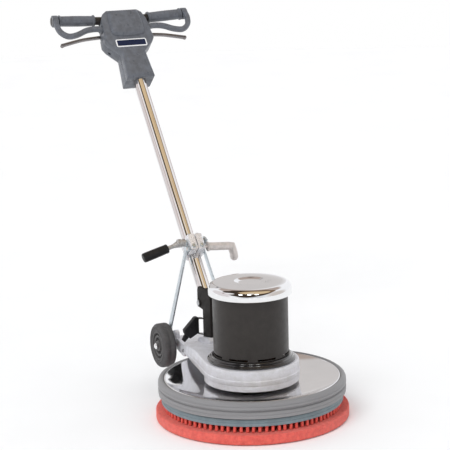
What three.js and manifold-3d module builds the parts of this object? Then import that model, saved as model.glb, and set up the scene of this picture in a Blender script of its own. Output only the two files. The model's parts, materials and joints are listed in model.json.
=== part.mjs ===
// Rotary floor machine: a motor over a planetary drive that spins a floor pad, steered by a leaning handle.
// Millimetres. +X points forward, away from the operator; +Y is the operator's left; +Z is up.
// The origin is the point where the pad's spin axis meets the floor.

import * as THREE from 'three';
import { mergeVertices } from 'three/addons/utils/BufferGeometryUtils.js';
import Module from 'manifold-3d';

const wasm = await Module();
wasm.setup();

const GAP = 0.3;                       // space left between pieces that touch
const QUARTER = Math.PI / 2;
const SIDES = [-1, 1];                 // -1 is the operator's right, +1 the left

// Facets round a full turn
const FINE = 36;
const MEDIUM = 24;
const COARSE = 16;
const SMALL = 12;
const HEX = 6;

// Floor pad and its driver
const PAD_R = 254;
const PAD_TOP = 28;
const BRISTLE_TOP = 44.6;
const BRISTLE_ROOT = 48;
const DRIVER_R = 238;
const DRIVER_TOP = 63;
const TUFTS = 30;
const TUFT_RING_R = 222;

// Reduction drive, all one module
const MODULE = 1.5;
const SUN_TEETH = 9;
const PLANET_TEETH = 36;
const RING_TEETH = SUN_TEETH + 2 * PLANET_TEETH;
const PLANETS = 3;
const PLANET_ORBIT = MODULE * (SUN_TEETH + PLANET_TEETH) / 2;
const PRESSURE_ANGLE = THREE.MathUtils.degToRad(25);
const GEAR_BOTTOM = 88;
const GEAR_TOP = 101;
const CARRIER_TOP = 86;
const OUTPUT_R = 14;
const CASE_R = 92;
const CASE_FLOOR = 72;
const CASE_INNER_R = 76;

// Deck and bumper
const DECK_HUB_R = CASE_R + 1;
const DECK_LIP_R = 231;
const DECK_LIP_Z = 108;
const DECK_SHEET = 2;
const BUMPER_R = 246;
const BUMPER_BOTTOM = 65;

// Cast motor base
const BASE_R = 126;
const DRUM_BOTTOM = 96;
const DRUM_TOP = 122;
const ARM_BOTTOM = 112.5;              // clears the bumper
const ARM_REAR_BOTTOM = 101;
const BASE_TOP = 153;
const BASE_REAR = 372;
const BASE_REAR_TOP = 131;
const BASE_TAPER = THREE.MathUtils.degToRad(9);
const BASE_WALL = 8;
const POCKET_HALF = 62;                // sunk panel between the yoke and the motor
const POCKET_DEPTH = 5;

// Motor
const FLANGE_R = 115;
const FLANGE_STEP = 160;
const CAN_R = 98.3;
const CAN_BOTTOM = 170;
const CAN_TOP = 330;
const CAN_WALL = 3;
const CAN_SLOTS = 8;
const CORE_R = CAN_R - CAN_WALL - 1;
const SHAFT_R = 8;
const CAP_R = 109;
const CAP_BOTTOM = 329;
const CAP_TOP = 363;

// Wheels
const AXLE_X = -352;
const AXLE_Z = 115;
const WHEEL_R = 61.4;
const WHEEL_INNER_Y = 90;
const WHEEL_WIDTH = 37;
const HUB_R = 41;

// Handle: its own frame has +Z up the tube and +X out of the tube's front
const LEAN = THREE.MathUtils.degToRad(39.8);
const PIVOT = new THREE.Vector3(-279.5, 0, 242.2);
const TUBE_R = 17.5;
const TUBE_FOOT = -22;
const TUBE_TOP = 876;
const COLLAR_BOTTOM = 142;
const COLLAR_TOP = 188;
const COLLAR_HALF = 22;
const CLAMP_BOLT = { x: 31, z: 172 };
const HOOK = { x: 38, z: 149 };
const STAY_FOOT = { x: -352, z: 142 };
const STAY_TOP_Y = 24;
const STAY_FOOT_Y = 83;
const STAY_THICK = 4;
const STAY_TOP_HALF_WIDTH = 7.5;
const STAY_FOOT_HALF_WIDTH = 10.5;

// Yoke behind the motor that holds the handle's pivot; its foot rises towards the front
const YOKE_REAR = -257;
const YOKE_FRONT = -206;
const YOKE_REAR_FLOOR = 152;
const YOKE_FRONT_FLOOR = 161;
const CHEEK_INNER = 20.5;
const CHEEK_OUTER = 26;
const YOKE_TOP = 289;
const YOKE_CORNER = 16;
const YOKE_SHEET = 6;

// Switch housing and handlebar, in the handle's frame; the housing's rear leans forward towards its top
const SPLIT_X = 4;
const HEAD_FRONT_X = 26;
const HEAD_FOOT_Z = 729;
const HEAD_TOP_Z = 968;
const HEAD_REAR_FOOT_X = -50;
const HEAD_REAR_TOP_X = -24;
const LOCK_X = -30;
const GLAND_Z = 770;
const BAR_Z = 945;
const BAR_R = 12;
const BAR_HALF = 214;
const BAR_RISE = THREE.MathUtils.degToRad(3.4);
const GRIP_R = 15.5;
const GUARD_X = 13;
const TRIGGER_PIVOT = { x: -21, y: 58, z: 905 };

const machine = new THREE.Group();
const handle = new THREE.Group();
handle.position.copy(PIVOT);
handle.rotation.y = -LEAN;
machine.add(handle);

// ---------------------------------------------------------------- shapes

function piece(name, geometry, [colour, roughness, metalness], parent = machine) {
  const mesh = new THREE.Mesh(geometry, new THREE.MeshStandardMaterial({ color: colour, roughness, metalness }));
  mesh.name = name;
  parent.add(mesh);
  return mesh;
}

// Revolves [radius, height] points about Z; the points run anticlockwise round the section.
function turned(points, segments) {
  const profile = points.map(([r, z]) => new THREE.Vector2(r, z));
  return new THREE.LatheGeometry(profile, segments).rotateX(QUARTER);
}

function ring(outer, inner, bottom, top, segments) {
  return turned([[inner, bottom], [outer, bottom], [outer, top], [inner, top], [inner, bottom]], segments);
}

function disc(radius, bottom, top, segments) {
  return turned([[0, bottom], [radius, bottom], [radius, top], [0, top]], segments);
}

// Turns a piece made along Z so that its axis lies along Y.
function alongY(geometry) {
  return geometry.rotateX(-QUARTER);
}

function rodY(radius, yFrom, yTo, segments, x = 0, z = 0) {
  return alongY(disc(radius, yFrom, yTo, segments)).translate(x, 0, z);
}

function rodX(radius, xFrom, xTo, segments, y = 0, z = 0) {
  return disc(radius, xFrom, xTo, segments).rotateY(QUARTER).translate(0, y, z);
}

function outline(points) {
  return new THREE.Shape(points.map(([x, y]) => new THREE.Vector2(x, y)));
}

function extrudeUp(shape, bottom, top, curveSegments = 6) {
  const options = { depth: top - bottom, bevelEnabled: false, curveSegments };
  return new THREE.ExtrudeGeometry(shape, options).translate(0, 0, bottom);
}

// A shape drawn in X and Z, made solid between two Y values.
function extrudeAcross(shape, yLow, yHigh, curveSegments = 6) {
  return extrudeUp(shape, 0, yHigh - yLow, curveSegments).rotateX(QUARTER).translate(0, yHigh, 0);
}

// A shape drawn in Y and Z, made solid between two X values.
function extrudeForward(shape, xLow, xHigh, curveSegments = 6) {
  const turn = new THREE.Matrix4().makeBasis(
    new THREE.Vector3(0, 1, 0), new THREE.Vector3(0, 0, 1), new THREE.Vector3(1, 0, 0));
  return extrudeUp(shape, xLow, xHigh, curveSegments).applyMatrix4(turn);
}

function box(xLow, xHigh, yLow, yHigh, zLow, zHigh) {
  return new THREE.BoxGeometry(xHigh - xLow, yHigh - yLow, zHigh - zLow)
    .translate((xLow + xHigh) / 2, (yLow + yHigh) / 2, (zLow + zHigh) / 2);
}

function alongPath(points, section, steps) {
  const path = new THREE.CatmullRomCurve3(points.map((p) => new THREE.Vector3(...p)));
  return new THREE.ExtrudeGeometry(section, { steps, extrudePath: path, bevelEnabled: false, curveSegments: 2 });
}

function circleShape(radius, sides) {
  const corners = [];
  for (let i = 0; i < sides; i++) {
    const angle = 2 * Math.PI * i / sides;
    corners.push([radius * Math.cos(angle), radius * Math.sin(angle)]);
  }
  return outline(corners);
}

// ---------------------------------------------------------------- cuts and joins

function solid(geometry) {
  const bare = geometry.clone();
  bare.deleteAttribute('normal');
  bare.deleteAttribute('uv');
  const merged = mergeVertices(bare, 1e-4);
  const triangles = [];
  for (let i = 0; i < merged.index.count; i += 3) {
    const corners = [0, 1, 2].map((k) => merged.index.getX(i + k));
    if (new Set(corners).size === 3) triangles.push(...corners);
  }
  return new wasm.Manifold(new wasm.Mesh({
    numProp: 3,
    vertProperties: new Float32Array(merged.attributes.position.array),
    triVerts: new Uint32Array(triangles),
  }));
}

function geometryOf(body) {
  const mesh = body.getMesh();
  const geometry = new THREE.BufferGeometry();
  geometry.setAttribute('position', new THREE.BufferAttribute(mesh.vertProperties, 3));
  geometry.setIndex(new THREE.BufferAttribute(mesh.triVerts, 1));
  return geometry;
}

function cut(geometry, ...tools) {
  return geometryOf(tools.reduce((body, tool) => body.subtract(solid(tool)), solid(geometry)));
}

function join(geometry, ...others) {
  return geometryOf(others.reduce((body, other) => body.add(solid(other)), solid(geometry)));
}

function common(a, b) {
  return geometryOf(solid(a).intersect(solid(b)));
}

// ---------------------------------------------------------------- finishes: colour, roughness, metalness

const CHROME = ['#d9dadb', 0.06, 1];
const CAST = ['#c4c5cb', 0.55, 0.8];
const ZINC = ['#bcc7cb', 0.4, 0.85];
const STEEL = ['#8f9296', 0.4, 0.9];
const BLACK_METAL = ['#22201f', 0.5, 0.3];
const BLACK_PLASTIC = ['#1c1b1d', 0.6, 0];
const GREY_PLASTIC = ['#5f6167', 0.6, 0];
const DARK_RUBBER = ['#4a4648', 0.8, 0];
const BUMPER_RUBBER = ['#8d8a88', 0.75, 0];
const PAD_RED = ['#e8554f', 0.95, 0];
const BRISTLE_RED = ['#b52c28', 0.7, 0];
const DRIVER_BLUE = ['#8494a0', 0.6, 0];
const HOOK_METAL = ['#a9a097', 0.5, 0.8];

// ---------------------------------------------------------------- pad and driver

function floorPad() {
  const edge = 5;
  return turned([[0, 0], [PAD_R - edge, 0], [PAD_R, edge], [PAD_R, PAD_TOP - edge],
    [PAD_R - edge, PAD_TOP], [0, PAD_TOP]], FINE);
}

// One ring of short tufts on a thin backing.
function gripBristles() {
  let body = solid(ring(TUFT_RING_R + 8, TUFT_RING_R - 60, BRISTLE_TOP, BRISTLE_ROOT - GAP, TUFTS));
  for (let i = 0; i < TUFTS; i++) {
    const angle = 2 * Math.PI * (i + 0.5) / TUFTS;
    const tuft = box(-5, 5, -4.5, 4.5, PAD_TOP + GAP, BRISTLE_TOP + 1).translate(TUFT_RING_R, 0, 0).rotateZ(angle);
    body = body.add(solid(tuft));
  }
  return geometryOf(body);
}

function driverBlock() {
  const recessOuter = TUFT_RING_R + 9;
  const recessInner = TUFT_RING_R - 61;
  return turned([[40, BRISTLE_TOP], [recessInner, BRISTLE_TOP], [recessInner, BRISTLE_ROOT],
    [recessOuter, BRISTLE_ROOT], [recessOuter, BRISTLE_TOP], [DRIVER_R, BRISTLE_TOP],
    [DRIVER_R, DRIVER_TOP], [40, DRIVER_TOP], [40, BRISTLE_TOP]], FINE);
}

piece('floor_pad', floorPad(), PAD_RED);
piece('grip_bristles', gripBristles(), BRISTLE_RED);
piece('pad_driver_block', driverBlock(), DRIVER_BLUE);
piece('clutch_plate', ring(75, OUTPUT_R + GAP, DRIVER_TOP + GAP, 68, MEDIUM), ZINC);

// ---------------------------------------------------------------- planetary drive

function involute(angle) {
  return Math.tan(angle) - angle;
}

// Tooth outline of a gear; half the tooth's angle at each radius follows the involute of the base circle.
function gearOutline(teeth, rootR, tipR, extraHalfAngle, flankSteps) {
  const pitchR = MODULE * teeth / 2;
  const baseR = pitchR * Math.cos(PRESSURE_ANGLE);
  const pitchHalf = Math.PI / (2 * teeth) + extraHalfAngle;
  const halfAngle = (r) => {
    const roll = Math.acos(Math.min(1, baseR / Math.max(r, baseR)));
    return pitchHalf + involute(PRESSURE_ANGLE) - involute(roll);
  };
  const points = [];
  for (let tooth = 0; tooth < teeth; tooth++) {
    const middle = 2 * Math.PI * tooth / teeth;
    for (const side of SIDES) {
      for (let step = 0; step <= flankSteps; step++) {
        const along = side < 0 ? step / flankSteps : 1 - step / flankSteps;
        const r = rootR + (tipR - rootR) * along;
        const angle = middle + side * halfAngle(r);
        points.push([r * Math.cos(angle), r * Math.sin(angle)]);
      }
    }
  }
  return points;
}

function externalGear(teeth, flankSteps) {
  const pitchR = MODULE * teeth / 2;
  const backlash = 0.16 / pitchR;
  return outline(gearOutline(teeth, pitchR - 1.2 * MODULE, pitchR + 0.85 * MODULE, -backlash, flankSteps));
}

function sunGear() {
  const shape = externalGear(SUN_TEETH, 3);
  const bore = new THREE.Path();
  bore.absarc(0, 0, 3, 0, 2 * Math.PI, true);
  shape.holes.push(bore);
  return extrudeUp(shape, GEAR_BOTTOM, GEAR_TOP + 3, 5);
}

function planetGear() {
  const shape = externalGear(PLANET_TEETH, 1);
  const bore = new THREE.Path();
  bore.absarc(0, 0, 6.3, 0, 2 * Math.PI, true);
  shape.holes.push(bore);
  return extrudeUp(shape, GEAR_BOTTOM, GEAR_TOP, 6).rotateZ(Math.PI / PLANET_TEETH);
}

function ringGear() {
  const pitchR = MODULE * RING_TEETH / 2;
  const clearance = 0.16 / pitchR;
  const shape = circleShape(CASE_INNER_R - 1, 27);
  const gaps = gearOutline(RING_TEETH, pitchR - 0.85 * MODULE, pitchR + 1.2 * MODULE, clearance, 1);
  const teeth = new THREE.Path(gaps.reverse().map(([x, y]) => new THREE.Vector2(x, y)));
  shape.holes.push(teeth);
  return extrudeUp(shape, GEAR_BOTTOM - 1, GEAR_TOP + 1).rotateZ(Math.PI / RING_TEETH);
}

function gearCase() {
  const bearingSeat = 26 + GAP;
  const ledge = 68;
  return turned([[bearingSeat, CASE_FLOOR], [CASE_R, CASE_FLOOR], [CASE_R, DRUM_BOTTOM - GAP],
    [CASE_INNER_R, DRUM_BOTTOM - GAP], [CASE_INNER_R, GEAR_BOTTOM - 1 - GAP], [ledge, GEAR_BOTTOM - 1 - GAP],
    [ledge, CASE_FLOOR + 7], [bearingSeat, CASE_FLOOR + 7], [bearingSeat, CASE_FLOOR]], MEDIUM);
}

// Planet carrier: a disc on the output shaft with one pin for each planet.
function driveCarrier() {
  let body = solid(join(disc(50, CARRIER_TOP - 5, CARRIER_TOP, MEDIUM), disc(OUTPUT_R, 50, CARRIER_TOP - 2, MEDIUM)));
  for (let i = 0; i < PLANETS; i++) {
    const pin = disc(6, CARRIER_TOP - 2, GEAR_TOP, SMALL).translate(PLANET_ORBIT, 0, 0).rotateZ(2 * Math.PI * i / PLANETS);
    body = body.add(solid(pin));
  }
  return geometryOf(body);
}

piece('drive_carrier', driveCarrier(), STEEL);
for (let i = 0; i < PLANETS; i++) {
  const angle = 2 * Math.PI * i / PLANETS;
  const planet = piece(`planet_gear_${i + 1}`, planetGear(), STEEL);
  planet.position.set(PLANET_ORBIT * Math.cos(angle), PLANET_ORBIT * Math.sin(angle), 0);
  planet.rotation.z = angle;
}
piece('sun_gear', sunGear(), STEEL);
piece('ring_gear', ringGear(), STEEL);
piece('gear_case', gearCase(), BLACK_METAL);
piece('output_bearing', ring(26, OUTPUT_R + GAP, CASE_FLOOR, CASE_FLOOR + 7, MEDIUM), STEEL);

// ---------------------------------------------------------------- deck and bumper

// Dished sheet that rises from the gear case to a rolled lip and turns down inside the bumper.
function deckPlate() {
  const rise = [[DECK_HUB_R, 90], [150, 91.5], [200, 98], [222, 104.5], [DECK_LIP_R - 3, DECK_LIP_Z]];
  const under = rise.map(([r, z]) => [r, z - DECK_SHEET]).reverse();
  const innerWall = DECK_LIP_R - DECK_SHEET;
  under[0] = [innerWall - 2, DECK_LIP_Z - 4];
  const skirtBottom = 74;
  return turned([[DECK_HUB_R, 88], ...under.reverse().slice(1), [innerWall, skirtBottom],
    [DECK_LIP_R, skirtBottom], [DECK_LIP_R, DECK_LIP_Z - 2], ...rise.reverse(), [DECK_HUB_R, 88]], FINE);
}

// Two soft beads with a groove between them.
function bumper() {
  const inner = DECK_LIP_R + GAP;
  const top = DECK_LIP_Z + 1;
  const groove = 84;
  return turned([[inner, BUMPER_BOTTOM], [BUMPER_R - 3, BUMPER_BOTTOM], [BUMPER_R, BUMPER_BOTTOM + 6],
    [BUMPER_R, groove - 4], [BUMPER_R - 3, groove], [BUMPER_R - 2, groove + 4], [BUMPER_R - 2, top - 9],
    [BUMPER_R - 6, top], [inner, top], [inner, BUMPER_BOTTOM]], FINE);
}

piece('deck_plate', deckPlate(), CHROME);
piece('bumper', bumper(), BUMPER_RUBBER);

// ---------------------------------------------------------------- cast motor base

// Plan of the base: a round front whose sides run straight back and draw in.
function basePlan(inset) {
  const r = BASE_R - inset;
  const rear = BASE_REAR - inset;
  const rearHalf = (r - rear * Math.sin(BASE_TAPER)) / Math.cos(BASE_TAPER);
  const corner = 14;
  const shape = new THREE.Shape();
  shape.moveTo(-rear, rearHalf - corner);
  shape.lineTo(-rear, corner - rearHalf);
  shape.quadraticCurveTo(-rear, -rearHalf, corner - rear, -rearHalf - corner * Math.tan(BASE_TAPER));
  shape.absarc(0, 0, r, -QUARTER - BASE_TAPER, QUARTER + BASE_TAPER, false);
  shape.lineTo(corner - rear, rearHalf + corner * Math.tan(BASE_TAPER));
  shape.quadraticCurveTo(-rear, rearHalf, -rear, rearHalf - corner);
  return shape;
}

// Side view that the plan is trimmed to: high under the motor, low at the wheels, clear of the bumper between.
function baseProfile() {
  const pastBumper = -BUMPER_R - 10;
  return outline([[-BASE_REAR - 1, ARM_REAR_BOTTOM], [pastBumper, ARM_REAR_BOTTOM], [pastBumper + 8, ARM_BOTTOM],
    [BASE_R + 1, ARM_BOTTOM], [BASE_R + 1, BASE_TOP], [-BASE_R - 4, BASE_TOP], [-300, BASE_REAR_TOP + 3],
    [-BASE_REAR - 1, BASE_REAR_TOP]]);
}

function stayEar(side) {
  const wall = side * 62;
  const face = side * 74;
  const ear = new THREE.Shape();
  ear.moveTo(STAY_FOOT.x - 13, BASE_REAR_TOP - 12);
  ear.lineTo(STAY_FOOT.x + 13, BASE_REAR_TOP - 12);
  ear.absarc(STAY_FOOT.x, STAY_FOOT.z, 11, 0, Math.PI, false);
  return extrudeAcross(ear, Math.min(wall, face), Math.max(wall, face));
}

function motorBase() {
  const width = BASE_R + 1;
  const arm = common(extrudeUp(basePlan(0), ARM_REAR_BOTTOM, BASE_TOP, 12), extrudeAcross(baseProfile(), -width, width));
  const drum = disc(BASE_R - 1.5, DRUM_BOTTOM, DRUM_TOP, FINE);
  const yokePad = extrudeAcross(outline([[YOKE_REAR - 22, DRUM_TOP], [YOKE_FRONT + 14, DRUM_TOP],
    [YOKE_FRONT + 7, BASE_TOP], [YOKE_FRONT, YOKE_FRONT_FLOOR - GAP], [YOKE_REAR, YOKE_REAR_FLOOR - GAP],
    [YOKE_REAR - 18, BASE_TOP - 8]]), -34, 34);
  const whole = join(arm, drum, yokePad, stayEar(-1), stayEar(1));
  const hollow = common(extrudeUp(basePlan(BASE_WALL), 90, BASE_REAR_TOP - BASE_WALL, 4),
    box(AXLE_X + 20, -104, -width, width, 90, BASE_REAR_TOP - BASE_WALL));
  const topPocket = box(YOKE_FRONT + 8, 16 - BASE_R, -POCKET_HALF, POCKET_HALF, BASE_TOP - POCKET_DEPTH, BASE_TOP + 1);
  return cut(whole, hollow, topPocket,
    disc(CASE_INNER_R, DRUM_BOTTOM - 1, 118, MEDIUM),
    disc(38, 117, BASE_TOP + 1, MEDIUM),
    rodY(6 + GAP, -BASE_R, BASE_R, SMALL, AXLE_X, AXLE_Z));
}

piece('motor_base', motorBase(), CAST);

// ---------------------------------------------------------------- motor

function motorFlange() {
  const seat = 17.5 + GAP;
  return turned([[seat, 124], [36, 124], [36, BASE_TOP + GAP], [FLANGE_R, BASE_TOP + GAP], [FLANGE_R, FLANGE_STEP],
    [CAN_R + 6, FLANGE_STEP + 4], [CAN_R + 4, CAN_BOTTOM - 2],
    [CAN_R - CAN_WALL - 2, CAN_BOTTOM - 2], [CAN_R - CAN_WALL - 2, FLANGE_STEP], [seat, FLANGE_STEP], [seat, 124]], FINE);
}

function motorCan() {
  const shell = ring(CAN_R, CAN_R - CAN_WALL, CAN_BOTTOM - 2 + GAP, CAN_TOP, FINE);
  const slots = [];
  for (let i = 0; i < CAN_SLOTS; i++) {
    const angle = 2 * Math.PI * i / CAN_SLOTS;
    slots.push(box(CAN_R - 12, CAN_R + 12, -26, 26, CAN_BOTTOM - 5, CAN_BOTTOM + 6).rotateZ(angle));
  }
  return cut(shell, ...slots);
}

function coolingFan() {
  let body = solid(ring(24, SHAFT_R + GAP, 284, 302, COARSE));
  body = body.add(solid(ring(70, 20, 284, 286.5, MEDIUM)));
  const blades = 7;
  for (let i = 0; i < blades; i++) {
    const blade = box(22, 68, -1.2, 1.2, 285, 301).rotateZ(2 * Math.PI * i / blades);
    body = body.add(solid(blade));
  }
  return geometryOf(body);
}

// Shallow chromed cap with a rolled skirt and an oval dish in the middle of its top.
function motorCap() {
  const sheet = 2.5;
  const shell = turned([[0, CAP_TOP - 4 - sheet], [78, CAP_TOP - 4 - sheet], [CAP_R - 14, CAP_TOP - 8 - sheet],
    [CAP_R - 2 * sheet, CAP_TOP - 20], [CAP_R - sheet, CAP_BOTTOM], [CAP_R, CAP_BOTTOM], [CAP_R, CAP_BOTTOM + 8],
    [CAP_R - 2, CAP_TOP - 15], [CAP_R - 7, CAP_TOP - 8], [CAP_R - 18, CAP_TOP - 3.5],
    [48, CAP_TOP], [0, CAP_TOP]], FINE);
  const dish = disc(1, CAP_TOP - 4, CAP_TOP + 1, MEDIUM).scale(36, 40, 1);
  return cut(shell, dish);
}

piece('motor_flange', motorFlange(), BLACK_METAL);
piece('lower_bearing', ring(17.5, SHAFT_R + GAP, 126, 138, MEDIUM), STEEL);
piece('motor_shaft', turned([[0, GEAR_BOTTOM - 1], [2.7, GEAR_BOTTOM - 1], [2.7, GEAR_TOP + 3.5], [SHAFT_R, GEAR_TOP + 4],
  [SHAFT_R, 324], [0, 324]], COARSE), STEEL);
piece('rotor', ring(50, SHAFT_R + GAP, 190, 268, MEDIUM), STEEL);
piece('stator', ring(CORE_R, 51, 186, 272, MEDIUM), ['#8a5a32', 0.6, 0.4]);
piece('cooling_fan', coolingFan(), BLACK_PLASTIC);
piece('upper_end_bell', turned([[17.5 + GAP, 306], [CORE_R, 306], [CORE_R, 316],
  [24, 316], [24, 322], [17.5 + GAP, 322], [17.5 + GAP, 306]], MEDIUM), CAST);
piece('upper_bearing', ring(17.5, SHAFT_R + GAP, 308, 320, MEDIUM), STEEL);
piece('start_capacitor', rodY(15, -34, 34, COARSE, 50, 332.5), BLACK_PLASTIC);
piece('motor_can', motorCan(), BLACK_METAL);
piece('motor_cap', motorCap(), CHROME);

// ---------------------------------------------------------------- handle yoke and motor connector

function yokeCheek(yLow, yHigh) {
  const headRear = YOKE_REAR - 36;
  const headBottom = 230;
  const cheek = new THREE.Shape();
  cheek.moveTo(YOKE_REAR, YOKE_REAR_FLOOR);
  cheek.lineTo(YOKE_FRONT, YOKE_FRONT_FLOOR);
  cheek.lineTo(YOKE_FRONT, YOKE_TOP - YOKE_CORNER);
  cheek.absarc(YOKE_FRONT - YOKE_CORNER, YOKE_TOP - YOKE_CORNER, YOKE_CORNER, 0, QUARTER, false);
  cheek.absarc(headRear + YOKE_CORNER, YOKE_TOP - YOKE_CORNER, YOKE_CORNER, QUARTER, Math.PI, false);
  cheek.lineTo(headRear, headBottom);
  cheek.lineTo(YOKE_REAR, headBottom - 2);
  return extrudeAcross(cheek, yLow, yHigh, 4);
}

// Front wall that bends back over the top, as far as the upright tube allows.
function yokeCover() {
  const rear = YOKE_FRONT - 44;
  const centre = [YOKE_FRONT - YOKE_CORNER, YOKE_TOP - YOKE_CORNER];
  const cover = new THREE.Shape();
  cover.moveTo(YOKE_FRONT, YOKE_FRONT_FLOOR);
  cover.absarc(...centre, YOKE_CORNER, 0, QUARTER, false);
  cover.lineTo(rear, YOKE_TOP);
  cover.lineTo(rear, YOKE_TOP - YOKE_SHEET);
  cover.absarc(...centre, YOKE_CORNER - YOKE_SHEET, QUARTER, 0, true);
  cover.lineTo(YOKE_FRONT - YOKE_SHEET, YOKE_FRONT_FLOOR);
  return extrudeAcross(cover, -CHEEK_OUTER, CHEEK_OUTER, 4);
}

function handleYoke() {
  const foot = extrudeAcross(outline([[YOKE_REAR, YOKE_REAR_FLOOR], [YOKE_FRONT, YOKE_FRONT_FLOOR],
    [YOKE_FRONT, YOKE_FRONT_FLOOR + YOKE_SHEET], [YOKE_REAR, YOKE_REAR_FLOOR + YOKE_SHEET]]),
  -CHEEK_OUTER, CHEEK_OUTER);
  const body = join(yokeCheek(-CHEEK_OUTER, -CHEEK_INNER), yokeCheek(CHEEK_INNER, CHEEK_OUTER), yokeCover(), foot);
  return cut(body, rodY(6 + GAP, -40, 40, SMALL, PIVOT.x, PIVOT.z));
}

function yokePin() {
  const shank = rodY(6, -CHEEK_OUTER - 1, CHEEK_OUTER + 1, SMALL, PIVOT.x, PIVOT.z);
  const heads = SIDES.map((side) => {
    const faces = [side * (CHEEK_OUTER + GAP), side * (CHEEK_OUTER + 5)].sort((a, b) => a - b);
    return rodY(9, faces[0], faces[1], HEX, PIVOT.x, PIVOT.z);
  });
  return join(shank, ...heads);
}

// Plug body that points down and out to the operator's right, with a stepped flange and a short nose.
function motorConnector() {
  const shape = outline([[-44, 167], [-44, 209], [-51, 209], [-57, 203], [-83, 177], [-81, 168],
    [-91, 150], [-82, 143], [-68, 154]]);
  return extrudeForward(shape, -265, -249);
}

function connectorBracket() {
  const face = -CHEEK_OUTER - GAP;
  const shape = outline([[face, 203], [face, 205], [-43.7, 207], [-43.7, 163], [face, 158], [face, 160],
    [-42, 165], [-42, 205]]);
  return extrudeForward(shape, -266, -248);
}

piece('handle_yoke', handleYoke(), BLACK_METAL);
piece('yoke_pin', yokePin(), STEEL);
piece('motor_connector', motorConnector(), BLACK_PLASTIC);
piece('connector_bracket', connectorBracket(), BLACK_METAL);

// ---------------------------------------------------------------- wheels

function axle() {
  const shoulder = 9;
  const shank = rodY(6, -WHEEL_INNER_Y - WHEEL_WIDTH - 2, WHEEL_INNER_Y + WHEEL_WIDTH + 2, SMALL, AXLE_X, AXLE_Z);
  const spacers = SIDES.map((side) => {
    const faces = [side * 74, side * (WHEEL_INNER_Y - 1)].sort((a, b) => a - b);
    return rodY(shoulder, faces[0], faces[1], SMALL, AXLE_X, AXLE_Z);
  });
  return join(shank, ...spacers);
}

function tyre() {
  const half = WHEEL_WIDTH / 2;
  return turned([[HUB_R + GAP, -half + 2], [HUB_R + 8, -half], [WHEEL_R - 7, -half], [WHEEL_R, -half + 7],
    [WHEEL_R, half - 7], [WHEEL_R - 7, half], [HUB_R + 8, half], [HUB_R + GAP, half - 2], [HUB_R + GAP, -half + 2]], MEDIUM);
}

function hub() {
  const half = WHEEL_WIDTH / 2 - 2;
  return turned([[6 + GAP, -half], [HUB_R, -half], [HUB_R, half], [HUB_R - 5, half], [HUB_R - 8, half - 5],
    [16, half - 5], [13, half], [6 + GAP, half], [6 + GAP, -half]], MEDIUM);
}

piece('axle', axle(), STEEL);
for (const side of SIDES) {
  const label = side < 0 ? 'right' : 'left';
  const wheel = new THREE.Group();
  wheel.position.set(AXLE_X, side * (WHEEL_INNER_Y + WHEEL_WIDTH / 2), AXLE_Z);
  wheel.rotation.x = -side * QUARTER;
  machine.add(wheel);
  piece(`wheel_tyre_${label}`, tyre(), DARK_RUBBER, wheel);
  piece(`wheel_hub_${label}`, hub(), ['#6b6668', 0.7, 0], wheel);
  const capInner = WHEEL_WIDTH / 2 + 2 + GAP;
  piece(`axle_cap_${label}`, turned([[0, capInner], [9, capInner], [9, capInner + 3], [5, capInner + 5], [0, capInner + 5]], SMALL),
    CHROME, wheel);
}

// ---------------------------------------------------------------- handle tube, clamp and stays

function inMachine(x, y, z) {
  return handle.localToWorld(new THREE.Vector3(x, y, z));
}

function handleTube() {
  const pinHole = rodY(6 + GAP, -30, 30, SMALL);
  return cut(ring(TUBE_R, TUBE_R - 2, TUBE_FOOT, TUBE_TOP, MEDIUM), pinHole);
}

// One half of the split collar: a half ring round the tube with an ear in front.
function collarHalf(side) {
  const length = [COLLAR_BOTTOM, COLLAR_TOP];
  const eye = disc(TUBE_R + 9, ...length, MEDIUM);
  const ear = box(0, 48, -COLLAR_HALF, COLLAR_HALF, ...length);
  const otherSide = side < 0 ? [-1.5, 60] : [-60, 1.5];
  return cut(join(eye, ear), disc(TUBE_R + GAP, COLLAR_BOTTOM - 1, COLLAR_TOP + 1, MEDIUM),
    box(-60, 60, ...otherSide, COLLAR_BOTTOM - 1, COLLAR_TOP + 1),
    rodY(6 + GAP, -60, 60, SMALL, CLAMP_BOLT.x, CLAMP_BOLT.z),
    rodY(5 + GAP, -60, 60, SMALL, HOOK.x, HOOK.z));
}

function clampBolt() {
  const shank = rodY(6, -28.5, 31, SMALL);
  const nut = rodY(10, 28.6, 36, HEX);
  return join(shank, nut).translate(CLAMP_BOLT.x, 0, CLAMP_BOLT.z);
}

// Boss on the clamp bolt with a shank that leans out and down to the grip.
const LEVER_DIRECTION = new THREE.Vector3(0, -0.966, -0.259);
const LEVER_BOSS_Y = -41;
const LEVER_GRIP_FROM = 40;
const LEVER_GRIP_TO = 116;

function leverRod(radius, from, to, segments) {
  const upToLever = new THREE.Quaternion().setFromUnitVectors(new THREE.Vector3(0, 0, 1), LEVER_DIRECTION);
  const start = inMachine(CLAMP_BOLT.x, LEVER_BOSS_Y, CLAMP_BOLT.z);
  return disc(radius, from, to, segments).applyQuaternion(upToLever).translate(start.x, start.y, start.z);
}

function clampLever() {
  const centre = inMachine(CLAMP_BOLT.x, 0, CLAMP_BOLT.z);
  const boss = rodY(12, LEVER_BOSS_Y - 11, -29, COARSE, centre.x, centre.z);
  return join(boss, leverRod(6, 2, LEVER_GRIP_TO - 12, SMALL));
}

function leverGrip() {
  return cut(leverRod(13.5, LEVER_GRIP_FROM, LEVER_GRIP_TO, COARSE), leverRod(6 + GAP, 0, LEVER_GRIP_TO - 11, SMALL));
}

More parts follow.
